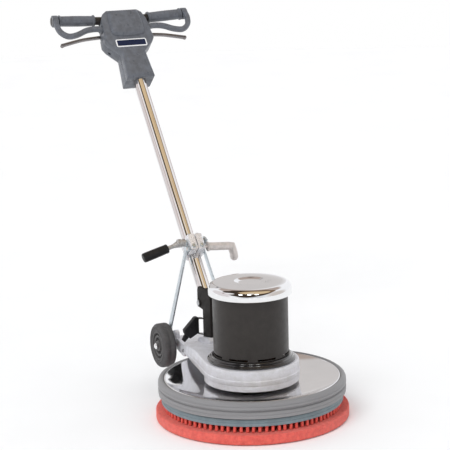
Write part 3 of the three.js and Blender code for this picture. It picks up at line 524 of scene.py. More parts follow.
def metal_looks():
    along_tube = (0, -math.atan2(-tube_up.x, tube_up.z), 0)
    return {
        "zinc": Look("zinc_plate", (0.60, 0.66, 0.69), 0.34, 0.9)
        .mottle(0.14, 0.008, (1.0, 1.0, 1.02)).blotch((0.42, 0.47, 0.50), 0.004, 0.62, 0.80)
        .gloss(0.12, 0.01).bump(0.00016, 0.0009),
        "zinc:bright": Look("zinc_bright", (0.80, 0.80, 0.83), 0.26, 0.45)
        .mottle(0.08, 0.008).blotch((0.62, 0.64, 0.66), 0.004, 0.66, 0.84)
        .gloss(0.1, 0.01).bump(0.00016, 0.0012),
        "zinc:forged": Look("forged_steel", (0.56, 0.555, 0.55), 0.36, 0.8)
        .mottle(0.25, 0.004).blotch((0.20, 0.18, 0.17), 0.003, 0.56, 0.76)
        .gloss(0.14, 0.004).bump(0.0012, 0.003, 5.0),
        "steel": Look("machined_steel", (0.50, 0.51, 0.53), 0.32, 1.0, grain=(1, 1, 30))
        .mottle(0.12, 0.004).gloss(0.1, 0.006).bump(0.00008, 0.0006),
        "steel:dark": Look("trigger_steel", (0.24, 0.225, 0.225), 0.42, 0.7)
        .mottle(0.14, 0.004, (1.0, 1.0, 1.02)).gloss(0.1, 0.006).bump(0.0001, 0.0012),
        "chrome": Look("chrome_plate", (0.86, 0.865, 0.875), 0.055, 1.0)
        .mottle(0.02, 0.05).gloss(0.02, 0.03).bump(0.00005, 0.03, 2.0, 0.4),
        # The tan streaks laid along the tube are a painted reflection of the brown ceiling.
        "chrome:tube": Look("chrome_tube", (0.86, 0.85, 0.84), 0.05, 1.0, (1, 1, 60), along_tube,
                            Specular_Tint=(0.42, 0.34, 0.34))
        .mottle(0.10, 0.003).blotch((0.70, 0.62, 0.55), 0.0022, 0.52, 0.70)
        .gloss(0.03, 0.004).bump(0.00002, 0.0035, 2.0, 0.4),
        "cast": Look("cast_aluminium", (0.76, 0.765, 0.80), 0.44, 0.40)
        .mottle(0.10, 0.02, (1.0, 1.0, 1.03)).blotch((0.47, 0.49, 0.55), 0.010, 0.60, 0.85)
        .gloss(0.11, 0.008).bump(0.0005, 0.004, 5.0).bump(0.00022, 0.0008, 3.0),
        "hook_metal": Look("hook_casting", (0.66, 0.625, 0.605), 0.42, 0.45)
        .mottle(0.14, 0.012, (1.02, 1.0, 1.0)).blotch((0.54, 0.50, 0.48), 0.005, 0.6, 0.82)
        .gloss(0.12, 0.008).bump(0.0004, 0.0014, 5.0),
        "motor_core": Look("lacquered_winding", (0.30, 0.115, 0.035), 0.4, 0.5)
        .mottle(0.3, 0.002).gloss(0.1, 0.004).bump(0.0004, 0.0015),
    }


def paint_looks():
    return {
        "black_metal": Look("black_enamel", (0.026, 0.022, 0.020), 0.38, Specular_IOR_Level=0.36)
        .mottle(0.14, 0.02).gloss(0.07, 0.012).bump(0.00018, 0.0028, 3.0),
        "black_metal:matt": Look("black_matt", (0.019, 0.017, 0.016), 0.6, Specular_IOR_Level=0.12)
        .mottle(0.16, 0.02).gloss(0.07, 0.012).bump(0.00018, 0.0028, 3.0),
        "black_metal:gloss": Look("black_gloss", (0.016, 0.015, 0.016), 0.12, Coat_Weight=0.6,
                                  Coat_Roughness=0.08)
        .mottle(0.3, 0.02).gloss(0.05, 0.012).bump(0.00012, 0.004, 3.0),
        "plate_blue": Look("plate_navy", (0.010, 0.017, 0.050), 0.4, Specular_IOR_Level=0.2)
        .mottle(0.2, 0.01).gloss(0.08, 0.01).bump(0.00006, 0.002),
        "plate_blue:border": Look("plate_white", (0.80, 0.80, 0.81), 0.35)
        .mottle(0.05, 0.01).gloss(0.08, 0.01).bump(0.00006, 0.002),
    }


def plastic_looks():
    return {
        "black_plastic": Look("black_moulding", (0.012, 0.012, 0.013), 0.42, Specular_IOR_Level=0.30)
        .mottle(0.3, 0.01).blotch((0.035, 0.035, 0.037), 0.0022, 0.66, 0.84)
        .gloss(0.12, 0.006).bump(0.00035, 0.0009),
        "grey_plastic": Look("grey_moulding", (0.116, 0.124, 0.142), 0.36)
        .mottle(0.20, 0.016, (0.98, 1.0, 1.03)).blotch((0.155, 0.164, 0.178), 0.005, 0.58, 0.84)
        .gloss(0.12, 0.014).bump(0.0006, 0.006).bump(0.00022, 0.0009, 3.0),
        "grey_plastic:plug": Look("plug_moulding", (0.25, 0.255, 0.27), 0.5)
        .mottle(0.16, 0.01).gloss(0.1, 0.01).bump(0.00025, 0.001),
        "hub_plastic": Look("hub_moulding", (0.085, 0.083, 0.084), 0.55)
        .mottle(0.16, 0.01).gloss(0.12, 0.008).bump(0.0002, 0.001),
        "button_red": Look("button_moulding", (0.50, 0.035, 0.02), 0.4)
        .mottle(0.15, 0.006).gloss(0.1, 0.006).bump(0.0002, 0.001),
        "bumper_rubber": Look("bumper_rubber", (0.240, 0.238, 0.246), 0.46, grain=(14, 14, 1))
        .mottle(0.10, 0.012).gloss(0.1, 0.02).ungrained().blotch((0.22, 0.21, 0.205), 0.01, 0.62, 0.84)
        .bump(0.00018, 0.0012),
        "tyre_rubber": Look("tyre_rubber", (0.076, 0.074, 0.076), 0.7)
        .mottle(0.18, 0.012).blotch((0.125, 0.122, 0.122), 0.004, 0.58, 0.82)
        .gloss(0.1, 0.008).bump(0.0004, 0.0013, 5.0),
    }


def make_floor():
    look = Look("floor_paint", (0.955, 0.96, 0.97), 0.75).mottle(0.012, 0.4).gloss(0.08, 0.2)
    slab = lathe([(0, -6), (9000, -6), (9000, -0.8), (0, -0.8)], FINE)
    floor = object_from("floor", slab, MACHINE)
    floor.data.materials.append(look.bump(0.00005, 0.02).material)


make_camera()
make_sky()
make_lamps()
make_floor()

# One look for each slot of the record, and variants after a colon.
LOOKS = {**pad_looks(), **metal_looks(), **paint_looks(), **plastic_looks()}
FINISHES = {slot: look.material for slot, look in LOOKS.items()}


# ---------------------------------------------------------------- pad, bristles and driver

def roughened(shape, size, depth):
    """Pushes each point in towards the axis and the middle height by a noise, as on a fibrous web."""
    points, faces = shape
    middle = sum(point.z for point in points) / len(points)
    result = []
    for point in points:
        amount = depth * (0.5 + 0.5 * noise.fractal(point / size, 0.8, 2.1, 4))
        flat = Vector((point.x, point.y, 0))
        inward = flat.normalized() * min(amount, flat.length)
        lower = math.copysign(min(amount, 2.0), point.z - middle)
        result.append(Vector((point.x - inward.x, point.y - inward.y, point.z - lower)))
    return result, faces


def fibres(count, radius, low, high):
    """Short loose hairs lying on the pad's rim and its upper edge."""
    points, faces = [], []
    up = Vector((0, 0, 1))
    for _ in range(count):
        angle = random.uniform(0, 2 * math.pi)
        out = Vector((math.cos(angle), math.sin(angle), 0))
        onward = Vector((-math.sin(angle), math.cos(angle), 0))
        on_rim = random.random() < 0.7
        r = radius - random.uniform(0.6, 1.4) if on_rim else random.uniform(radius - 18, radius - 3)
        z = random.uniform(low + 2, high - 2) if on_rim else high - random.uniform(0.3, 0.9)
        start = Vector((r * math.cos(angle), r * math.sin(angle), z))
        lean = onward * random.uniform(-1, 1)
        lean += up * random.uniform(-1, 1) if on_rim else out
        along = lean.normalized() * random.uniform(1.5, 3.5)
        away = out if on_rim else up
        wide = along.cross(away).normalized() * 0.16
        hair = [start - wide, start + wide, start + along * 0.5 + away * 0.45, start + along]
        for triangle in ((0, 1, 2), (1, 3, 2), (3, 0, 2), (0, 3, 1)):
            faces.append([len(points) + corner for corner in triangle])
        points += [Vector((p.x, p.y, max(p.z, low + 0.4))) for p in hair]
    return points, faces


def make_pad():
    low, high = span("floor_pad")
    gap, corner, hole = 0.3, 4.5, 40
    radius, bottom, top = high.x - gap, low.z + gap, high.z - gap
    under = [(r, bottom) for r in (hole + 1, 43, 90, 150, 210, 236)]
    rim = arc(corner, -90, 0, 5, (radius - corner, bottom + corner))
    wall = [(radius, z) for z in (8, 11, 14, 17, 20)]
    upper = arc(corner, 0, 90, 5, (radius - corner, top - corner))
    above = [(r, top) for r in (244, 238, 231, 222, 210, 190, 150, 100, 60, 43, hole + 1)]
    web = lathe(under + rim + wall + upper + above + [(hole, top - 2), (hole, 2)], 720)
    shape = merge(roughened(web, 2.6, 1.3), fibres(5000, radius, low.z, top))
    pad = piece("pad_web", "pad_drive", "pad_red", shape, stands_for=["floor_pad"], smooth=70)


def tuft(height):
    """One stub of nylon, slightly waisted, with a cut end."""
    waisted = [(3.4, 0), (4.2, 0.9), (4.3, 4), (4.0, height * 0.6), (4.2, height)]
    return lathe([(0, 0), *waisted, (0, height)], 10)


def make_bristles():
    bottom = span("floor_pad")[1].z + 0.1
    height = span("grip_bristles")[1].z - 0.4 - bottom
    shapes = []
    for ring_radius, count, stagger in ((229.5, 90, 0), (215, 84, 0.5), (200, 78, 0)):
        for i in range(count):
            angle = 2 * math.pi * (i + stagger) / count + random.uniform(-0.004, 0.004)
            r = ring_radius + random.uniform(-0.5, 0.5)
            lean = Matrix.Rotation(random.uniform(-0.05, 0.05), 4, "X")
            lean = lean @ Matrix.Rotation(random.uniform(-0.05, 0.05), 4, "Y")
            foot = shift(r * math.cos(angle), r * math.sin(angle), bottom + random.uniform(0, 0.3))
            shapes.append(moved(tuft(height), lean, foot))
    piece("bristle_tufts", "pad_drive", "bristle_red", merge(*shapes), stands_for=["grip_bristles"])


def make_driver():
    low, high = span("pad_driver_block")
    r, top, bottom = high.x, high.z, low.z
    inside = [(40, top), (40, bottom), (184, bottom), (186, 48), (235.6, 48), (236, bottom + 0.5)]
    rim = from_rim(r, bottom, [(1, 0), (0, 0.8), (0, 8), (0.9, 8.7), (0.9, 10), (0, 10.7)])
    edge = from_rim(r, top, [(0, -2), (0.6, -0.6), (2, 0), (20, 0), (21, -1.5)])
    holes = []
    for i in range(6):
        angle = math.pi / 6 + i * math.pi / 3
        place = shift(120 * math.cos(angle), 120 * math.sin(angle))
        holes.append(moved(rod(5, bottom - 1, top + 1, 16), place))
    disc = lathe(inside + rim + edge + [(92, top - 1.5), (90, top)], FINE)
    piece("driver_disc", "pad_drive", "driver_blue", disc, stands_for=["pad_driver_block"], cut=holes)


# ---------------------------------------------------------------- deck, bumper and gear case

def make_bumper():
    r = span("bumper")[1].x
    inside = 231.3
    wall = from_rim(r, 0, [(1, 66.5), (0, 72), (0, 74.7), (0.8, 75.5), (0, 76.3), (0, 79), (1.4, 83),
                           (4.4, 84.6), (4.2, 85.6), (1.2, 87.2), (0.1, 89), (0.9, 89.7), (0, 90.5), (0, 93),
                           (0.2, 96.2), (1.1, 97), (0.3, 97.8), (0.6, 101), (2.6, 105.5), (6.5, 108.4)])
    ring = lathe([(inside, 66), (240, 65)] + wall + [(234.5, 108.8), (inside, 106)], FINE)
    piece("bumper_ring", "chassis", "bumper_rubber", ring, stands_for=["bumper"], smooth=50)


def make_deck():
    hub, lip, low, top = 93.2, 226.0, 90.0, 108.0
    radii = [hub + (lip - hub) * i / 40 for i in range(41)]
    crown = [(r, low + (top - low) * ((r - hub) / (228.5 - hub)) ** 3.2) for r in radii]
    curl = [(228.2 + 2.6 * math.cos(math.radians(a)), top - 2.4 + 2.2 * math.sin(math.radians(a)))
            for a in range(150, -1, -25)]
    skirt = [(230.9, 75), (229.2, 75), (229.0, 103.6)]
    under = [(r, z - 1.8) for r, z in reversed(crown[::4])]
    piece("deck_shell", "chassis", "chrome", lathe(crown + curl + skirt + under, FINE),
          stands_for=["deck_plate"], smooth=60)


def make_gear_case():
    low, high = span("gear_case")
    r, bottom, top = high.x, low.z, high.z
    wall = from_rim(r, bottom, [(3, 0), (0.6, 1.2), (0, 3)]) + from_rim(r, top, [(0, -0.8), (0.8, 0)])
    well = [(76, top), (76, 86.7), (68, 86.7), (68, bottom + 7), (26.3, bottom + 7)]
    case = lathe([(26.3, bottom)] + wall + well, FINE)
    piece("gear_housing", "chassis", "black_metal:gloss", case, stands_for=["gear_case"])


# ---------------------------------------------------------------- cast motor base

BASE_R = 126.0
BASE_TAPER = math.radians(9)
BASE_REAR = span("motor_base")[0].x
# The axle, and above it the studs in the casting's ears that the stays turn on.
AXLE_X, AXLE_Z, STUD_Z = -352.0, 115.0, 142.0
YOKE = span("handle_yoke")
# The ends of the yoke's foot, which slopes up towards the motor; its cheeks reach 36 mm further back.
SOLE_REAR = (YOKE[0].x + 36, 152)
SOLE_FRONT = (YOKE[1].x, 161)


def eased(t):
    return t * t * (3 - 2 * t)


def base_top(x):
    """Height of the casting's upper edge at x: level round the motor, then a slope with an eased start."""
    high, middle, rear = 153.0, 134.0, 131.0
    slope_start, slope_end = -132.0, -300.0
    if x > slope_start:
        return high
    if x > slope_end:
        t = (slope_start - x) / (slope_start - slope_end)
        return high - (high - middle) * (0.6 * eased(t) + 0.4 * t)
    return middle + (rear - middle) * (slope_end - x) / (slope_end - BASE_REAR)


def base_bottom(x):
    """Height of the casting's lower edge at x, with a step down in front of the axle."""
    high, low = 112.5, 101.0
    step_start, step_end = -246.0, -262.0
    t = min(1, max(0, (step_start - x) / (step_start - step_end)))
    return high - (high - low) * eased(t)


def half_width(x):
    """Half the casting's width at x, where its sides are straight."""
    return (BASE_R + x * math.sin(BASE_TAPER)) / math.cos(BASE_TAPER)


def base_half():
    """Points and outward normals of the plan's +Y half, from the nose to the tail."""
    nose_steps, side_steps, corner_steps, tail_steps = 48, 40, 8, 5
    corner = 14
    half = []
    for i in range(nose_steps + 1):
        angle = (math.pi / 2 + BASE_TAPER) * i / nose_steps
        x, y = math.cos(angle), math.sin(angle)
        half.append((Vector((BASE_R * x, BASE_R * y)), Vector((x, y))))
    start, normal = half[-1]
    along = Vector((-normal.y, normal.x))
    length = (start.x - BASE_REAR - corner * 0.8) / -along.x
    for i in range(1, side_steps + 1):
        half.append((start + along * length * i / side_steps, normal))
    centre = half[-1][0] - normal * corner
    first = math.atan2(normal.y, normal.x)
    # The corner is stretched a little, so that it ends where the tail starts.
    stretch = BASE_REAR - (centre.x - corner)
    for i in range(1, corner_steps + 1):
        angle = first + (math.pi - first) * i / corner_steps
        way = Vector((math.cos(angle), math.sin(angle)))
        half.append((centre + way * corner + Vector((stretch * i / corner_steps, 0)), way))
    tail_y = half[-1][0].y
    for i in range(1, tail_steps):
        half.append((Vector((BASE_REAR, tail_y * (1 - i / tail_steps))), Vector((-1, 0))))
    return half


def base_shape():
    """The casting's wall as rows round the plan, closed above and below by strips across it.

    A row is (distance outwards, level, distance upwards).
    """
    half = base_half()
    rows = [(-4.0, "bottom", 0.0), (-1.2, "bottom", 1.0), (0.0, "bottom", 3.5), (-0.2, "crease", -1.4),
            (-1.3, "crease", 0.2), (-1.3, "crease", 2.0), (-1.6, "top", -4.0), (-2.3, "top", -1.8),
            (-4.0, "top", -0.4), (-7.0, "top", 0.0)]
    heights = {"bottom": 0.0, "crease": 0.36, "top": 1.0}
    points, faces, index = [], [], {}
    last = len(half) - 1
    for row, (out, level, lift) in enumerate(rows):
        for side in (1, -1):
            for i, (point, way) in enumerate(half):
                if side < 0 and i == 0:
                    index[row, side, i] = index[row, 1, 0]
                    continue
                here = point + way * out
                low, high = base_bottom(here.x), base_top(here.x)
                index[row, side, i] = len(points)
                points.append(Vector((here.x, side * here.y, low + heights[level] * (high - low) + lift)))
    for row in range(len(rows) - 1):
        for side in (1, -1):
            for i in range(last):
                faces.append([index[row, side, i], index[row, side, i + 1], index[row + 1, side, i + 1],
                              index[row + 1, side, i]])
        faces.append([index[row, 1, last], index[row, -1, last], index[row + 1, -1, last],
                      index[row + 1, 1, last]])
    for row in (0, len(rows) - 1):
        for i in range(last):
            strip = [index[row, 1, i], index[row, 1, i + 1], index[row, -1, i + 1], index[row, -1, i]]
            faces.append(list(dict.fromkeys(strip)))
    return points, faces


def make_base():
    (rear, rear_z), (front, front_z) = SOLE_REAR, SOLE_FRONT
    gap, wall = 0.3, 8
    seat = [(rear - 22, 130), (front + 14, 130), (front + 7, 153), (front, front_z - gap),
            (rear, rear_z - gap), (rear - 18, 145)]
    raised = upright(round_corners(seat, 2), -34, 34)
    ear = [(AXLE_X - 13, 120), (AXLE_X + 13, 120)] + arc(11, 0, 180, 14, (AXLE_X, STUD_Z))
    ears = [upright(ear, *sorted((side * 62, side * 74))) for side in SIDES.values()]
    drum = lathe([(0, 97), (122, 97), (124.4, 99), (124.4, 121), (0, 121)], FINE)
    plan = [(x, side * (half_width(x) - wall)) for x, side in ((-332, -1), (-104, -1), (-104, 1), (-332, 1))]
    hollow = prism(plan, 80, 123)
    pocket_plan = round_corners(rectangle(front + 8, 16 - BASE_R, -62, 62), 8, 5)
    pocket = stack([(inset(pocket_plan, 1.5), 148), (pocket_plan, 170)])
    axle_hole = crosswise(rod(6.3, -150, 150, 24), AXLE_X, AXLE_Z)
    piece("base_casting", "chassis", "cast", base_shape(), stands_for=["motor_base"],
          joined=[drum, raised, *ears],
          cut=[hollow, pocket, rod(38, 117, 170, ROUND), rod(76, 90, 118, ROUND), axle_hole], smooth=32)
    head = merge(rod(5.5, 0, 1.2, 24, 0.4), hexagon(7.5, 1.2, 3.0, 0.8))
    screw_x = -262
    screws = [moved(head, outward(side), shift(screw_x, side * (half_width(screw_x) - 1.6), 118))
              for side in SIDES.values()]
    piece("base_side_screws", "chassis", "steel", merge(*screws))


# ---------------------------------------------------------------- motor

def make_flange():
    steps = from_rim(span("motor_flange")[1].x, 0, [
        (1.5, 153.4), (0, 154.6), (0, 157.6), (1.2, 158.8), (4.5, 159.4), (5.5, 160.6), (6.4, 162.4),
        (9, 163.2), (10.4, 163.9), (11, 165.8), (12.5, 167.6)])
    recess = [(95.5, 168), (93.3, 168), (93.3, 160), (17.8, 160)]
    ring = lathe([(17.8, 124), (36, 124), (36, 153.4)] + steps + recess, FINE)
    piece("flange_ring", "chassis", "black_metal:gloss", ring, stands_for=["motor_flange"], smooth=45)


def make_can():
    low, high = span("motor_can")
    r, bottom, top = high.x, low.z, high.z
    wall = lathe([(r - 3, bottom), (r - 0.6, bottom), (r, bottom + 0.6), (r, top), (r - 3, top)], FINE)
    outline = round_corners(rectangle(-25.5, 25.5, bottom + 2.2, bottom + 7.6), 1.8, 3)
    slot = frontal(outline, r - 14, r + 8)
    slots = [moved(slot, Matrix.Rotation(math.pi * i / 4, 4, "Z")) for i in range(8)]
    piece("can_shell", "chassis", "black_metal", wall, stands_for=["motor_can"], cut=slots, smooth=30)


def make_cap():
    """The cap, with a shallow dish in its top that is a little shorter than it is wide."""
    low, high = span("motor_cap")
    r, top = high.x, high.z
    inside = [(0, top - 9)] + from_rim(r, top, [(60, -9), (18, -10), (5.5, -20)])
    wall = from_rim(r, low.z, [(2.6, 0), (0.8, 0), (0, 0.8), (0.1, 10), (0.8, 17), (2.2, 21.4), (4.6, 24.8),
                               (7.6, 27.2), (11, 28.8), (12.6, 29.9), (15, 30.5), (26, 31.6)])
    crown = [(r - 45, top - 0.9), (48, top - 0.2), (42.5, top)]
    dish = from_rim(0, top, [(-41, -0.2), (-39.5, -0.9), (-33, -3.9), (-30.5, -4.7), (-28, -5), (0, -5)])
    points, faces = lathe(inside + wall + crown + dish, FINE)
    for point in points:
        if point.to_2d().length < 48 and point.z > top - 8:
            point.x *= 0.9
    piece("cap_shell", "chassis", "chrome", (points, faces), stands_for=["motor_cap"], smooth=55)


# ---------------------------------------------------------------- yoke and connector

def make_yoke():
    low, high = YOKE
    (rear, rear_z), (front, front_z) = SOLE_REAR, SOLE_FRONT
    corner, half, thick = 16, 26, 6
    bend = (front - corner, high.z - corner)
    cheek = [SOLE_REAR, SOLE_FRONT, *arc(corner, 0, 90, 8, bend),
             *arc(corner, 90, 180, 8, (low.x + corner, high.z - corner)), (low.x, 230), (rear, 228)]
    cheeks = [upright(cheek, *sorted((side * 20.5, side * half))) for side in SIDES.values()]
    cover = [(front - thick, front_z), SOLE_FRONT, *arc(corner, 0, 90, 8, bend), (front - 44, high.z),
             (front - 44, high.z - thick), *arc(corner - thick, 90, 0, 8, bend)]
    sole = upright([SOLE_REAR, SOLE_FRONT, (front, front_z + thick), (rear, rear_z + thick)], -half, half)
    pivot = Vector(joints["handle_tilt"]["pos_m"]) / MM
    piece("yoke_bracket", "chassis", "black_metal:matt", cheeks[0], stands_for=["handle_yoke"],
          joined=[cheeks[1], upright(cover, -half, half), sole],
          cut=[crosswise(rod(6.3, -40, 40, 24), pivot.x, pivot.z)], bevel=1.6, segments=3)
    bolt = [rod(6, -27, 27, 24)]
    for side in SIDES.values():
        turn = Matrix.Rotation(0 if side > 0 else math.pi, 4, "X")
        bolt.append(moved(hexagon(16, 0.4, 5), turn, shift(0, 0, side * half)))
    bolt = crosswise(merge(*bolt), pivot.x, pivot.z)
    piece("pivot_bolt", "chassis", "steel", bolt, stands_for=["yoke_pin"])
    head = merge(rod(4.6, 0, 1.0, 24, 0.3), hexagon(6.5, 1.0, 3.2, 0.7))
    screws = [moved(head, shift(front + 7, y, 152.6)) for y in (-14, 14)]
    piece("yoke_foot_screws", "chassis", "steel", merge(*screws))


def make_connector():
    low, high = span("motor_connector")
    body = inset([(-68, 154.5), (-81, 168), (-83, 177), (-57, 203), (-51, 209), (-44, 209), (-44, 167)], 1.3)
    block = frontal(round_corners(body, 2, 3), low.x + 0.3, high.x - 0.3)
    snout = [(-70, 156), (-81, 167), (-90.5, 151), (-82.5, 143.5)]
    nose = frontal(round_corners(snout, 2, 3), low.x + 5, high.x - 5)
    piece("motor_plug", "chassis", "black_plastic", block, stands_for=["motor_connector"], joined=[nose],
          bevel=1.0)
    rib = prism(rectangle(-1.0, 1.0, -13, 1.5), low.x + 2, high.x - 0.05)
    ribs = []
    for share in (0.25, 0.45, 0.65):
        place = shift(-50 - 33 * share, 206 - 32 * share)
        ribs.append(moved(rib, Matrix.Rotation(math.radians(45), 4, "Z"), place, FORWARD))
    piece("motor_plug_ribs", "chassis", "black_plastic", merge(*ribs), bevel=0.3)
    low, high = span("connector_bracket")
    strip = [(-26.3, 203), (-26.3, 205), (-43.7, 207), (-43.7, 163), (-26.3, 158), (-26.3, 160), (-42, 165),
             (-42, 205)]
    piece("plug_bracket", "chassis", "black_metal", frontal(strip, low.x, high.x),
          stands_for=["connector_bracket"], bevel=0.5)


# ---------------------------------------------------------------- wheels

def tyre_profile(r, half):
    back = from_rim(r, -half, [(7, 0.3), (3, 1.8), (0.9, 4.4), (0, 8)])
    groove = from_rim(r, 0, [(0, -2), (0.9, -1), (0.9, 1), (0, 2)])
    shoulder = from_rim(r, half, [(0, -10), (1.2, -6), (4, -2.6), (9, -0.4), (10, -1), (11, -0.2)])
    face = [(50, half), (48.6, half - 1.4), (47.4, half - 1.4), (46.4, half - 0.2), (43, half - 0.6)]
    return [(41.3, 2 - half), (49, -half)] + back + groove + shoulder + face + [(41.3, half - 2)]


def hub_profile(half):
    """From the bore out along the back, over the rim, and in over a ridge between two valleys."""
    depths = [(41, 0.8), (40, 0), (37, 0), (35.6, 1.2), (34, 9), (32, 9.6), (30.6, 9), (29.4, 2.6), (28, 1.8),
              (25, 2), (23.6, 3), (22.4, 9), (20, 9.6), (17, 9), (14.6, 1), (13, 0), (6.3, 0)]
    return [(6.3, -half), (41, -half)] + [(radius, half - depth) for radius, depth in depths]


def make_wheels():
    for label, side in SIDES.items():
        low, high = span(f"wheel_tyre_{label}")
        half, r = (high.y - low.y) / 2, (high.z - low.z) / 2
        place = (outward(side), shift(*(low + high) / 2))
        tyre = moved(lathe(tyre_profile(r, half), 96), *place)
        hub = moved(lathe(hub_profile(half - 2), 96), *place)
        body = f"wheel_{label}"
        piece(f"tyre_{label}", body, "tyre_rubber", tyre, stands_for=[f"wheel_tyre_{label}"], smooth=42)
        piece(f"hub_{label}", body, "hub_plastic", hub, stands_for=[f"wheel_hub_{label}"], smooth=35)
        low, high = span(f"axle_cap_{label}")
        half = (high.y - low.y) / 2
        cap = lathe([(0, -half), (8.8, -half), (8.8, 1 - half), (8, 1.6 - half), (6.4, half - 1.4),
                     (4.5, half - 0.4), (0, half - 0.02)], 48)
        piece(f"axle_nut_{label}", "chassis", "chrome", moved(cap, outward(side), shift(*(low + high) / 2)),
              stands_for=[f"axle_cap_{label}"], smooth=50)


# ---------------------------------------------------------------- handle tube, clamp and stays

# The clamp bolt and the hook's stud lie across the machine here, in HANDLE's frame.
BOLT = Vector((31, 0, 172))
HOOK = Vector((38, 0, 149))


def to_machine(point):
    return (HANDLE @ point) / MM


def make_tube():
    low, high = span("handle_tube", HANDLE)
    r, inside = high.y, high.y - 2
    profile = [(inside, low.z), (r - 0.5, low.z), (r, low.z + 0.5), (r, high.z), (inside, high.z)]
    piece("chrome_tube", "handle", "chrome:tube", lathe(profile, 96), HANDLE, ["handle_tube"],
          cut=[crosswise(rod(6.3, -30, 30, 24))], smooth=35)


def make_collar():
    low, high = span("collar_right", HANDLE)
    bottom, top, reach = low.z, high.z, high.x
    for label, side in SIDES.items():
        ear = round_corners(rectangle(0, reach, -21.9, 21.9), 5, 5)
        other_half = rectangle(-60, 80, *sorted((side * 1.5, -side * 60)))
        piece(f"clamp_half_{label}", "collar", "zinc:bright", rod(26.4, bottom, top, ROUND, 1.2), HANDLE,
              [f"collar_{label}"], joined=[prism(ear, bottom + 0.1, top - 0.1)],
              cut=[rod(17.8, bottom - 5, top + 5, ROUND), prism(other_half, bottom - 5, top + 5)],
              bevel=1.1, segments=3)
    front_head = moved(merge(rod(6.2, 0, 5, 32, 1.2), hexagon(6, 4, 5.2, 0.4)), ALONG_X)
    top_head = merge(rod(7, 0, 1.2, 32, 0.4), hexagon(10, 1.2, 5.6, 1))
    screws = []
    for y in (-12, 12):
        screws.append(moved(front_head, shift(reach - 1.5, y, bottom + 9)))
        screws.append(moved(top_head, shift(reach - 11, y, top - 0.2)))
    piece("collar_screws", "collar", "zinc", merge(*screws), HANDLE, bevel=0.3)


def make_clamp_stud():
    low, high = span("clamp_bolt", HANDLE)
    shank = rod(6, low.y, high.y - 5, SMALL, 0.6)
    nut = merge(rod(10.4, 28.6, 30, 36, 0.4), hexagon(16.5, 30, 36, 1.2))
    stud = crosswise(merge(shank, nut), BOLT.x, BOLT.z)
    piece("clamp_stud", "collar", "zinc", stud, HANDLE, ["clamp_bolt"])
    wing = prism(round_corners(rectangle(4, 13.5, -2, 2), 1.8, 3), 30.5, 35.5)
    wings = [moved(wing, Matrix.Rotation(2 * math.pi * i / 3 + 0.4, 4, "Z")) for i in range(3)]
    piece("clamp_stud_wings", "collar", "zinc", crosswise(merge(*wings), BOLT.x, BOLT.z), HANDLE, bevel=0.7)


def make_hook():
    lock_nut = merge(rod(7.4, -24, -22.4, 32, 0.3), hexagon(13, -30, -24, 1.2))
    piece("hook_lock_nut", "collar", "zinc", crosswise(lock_nut, HOOK.x, HOOK.z), HANDLE, ["hook_nut"])
    r, tip = 11.4, Vector((0, 111, -37.5))
    path = [Vector((0, 30.3, 0)), Vector((0, 60, -2.6)), Vector((0, 92, -5.2)), Vector((0, 103.5, -7.5)),
            Vector((0, 109.5, -26)), tip]
    scales = [1.0] * len(path)
    along = (path[-1] - path[-2]).normalized()
    for degrees in range(15, 91, 15):
        path.append(tip + along * r * math.sin(math.radians(degrees)))
        scales.append(max(0.02, math.cos(math.radians(degrees))))
    bar = sweep(path, arc(r, 0, 360 - 360 / 32, 31), scales)
    washer = crosswise(rod(14, 30.4, 33, 36, 0.6))
    stud = crosswise(rod(5, -31, 31, 24, 0.5))
    piece("cord_hook_bar", "collar", "hook_metal", moved(merge(bar, washer, stud), shift(*to_machine(HOOK))),
          stands_for=["cord_hook"], smooth=50)


def make_lever():
    start = to_machine(BOLT)
    down = Vector((0, -0.966, -0.259)).normalized()
    aim = shift(start.x, start.y - 41, start.z) @ down.to_track_quat("Z", "X").to_matrix().to_4x4()
    boss = lathe([(0, -52), (8.5, -52), (11.6, -50), (12, -47), (12, -41), (10.6, -38.5), (10.2, -33.5),
                  (11.6, -31.5), (11.6, -29.4), (0, -29.4)], 48)
    shank = lathe([(0, 0), (10.4, 0), (9.8, 8), (8.2, 15), (6.4, 22), (5.6, 30), (6, 38), (6, 104), (0, 104)],
                  40)
    arm = merge(crosswise(boss, start.x, start.z), moved(shank, aim))
    piece("lever_arm", "clamp_lever", "zinc:forged", arm, stands_for=["clamp_lever"], smooth=45)
    bore = [(0, 104.4), (6.2, 104.4), (6.3, 40.2)]
    swell = [(10.6, 40.2), (12.4, 41.2), (13.2, 44), (12.6, 47.5), (12.6, 50), (13.0, 60), (13.4, 85)]
    end = [(13.4, 108), (13.0, 113), (11.6, 115.2), (9, 116), (0, 116)]
    piece("lever_handgrip", "clamp_lever", "black_plastic", moved(lathe(bore + swell + end, 48), aim),
          stands_for=["lever_grip"], smooth=50)


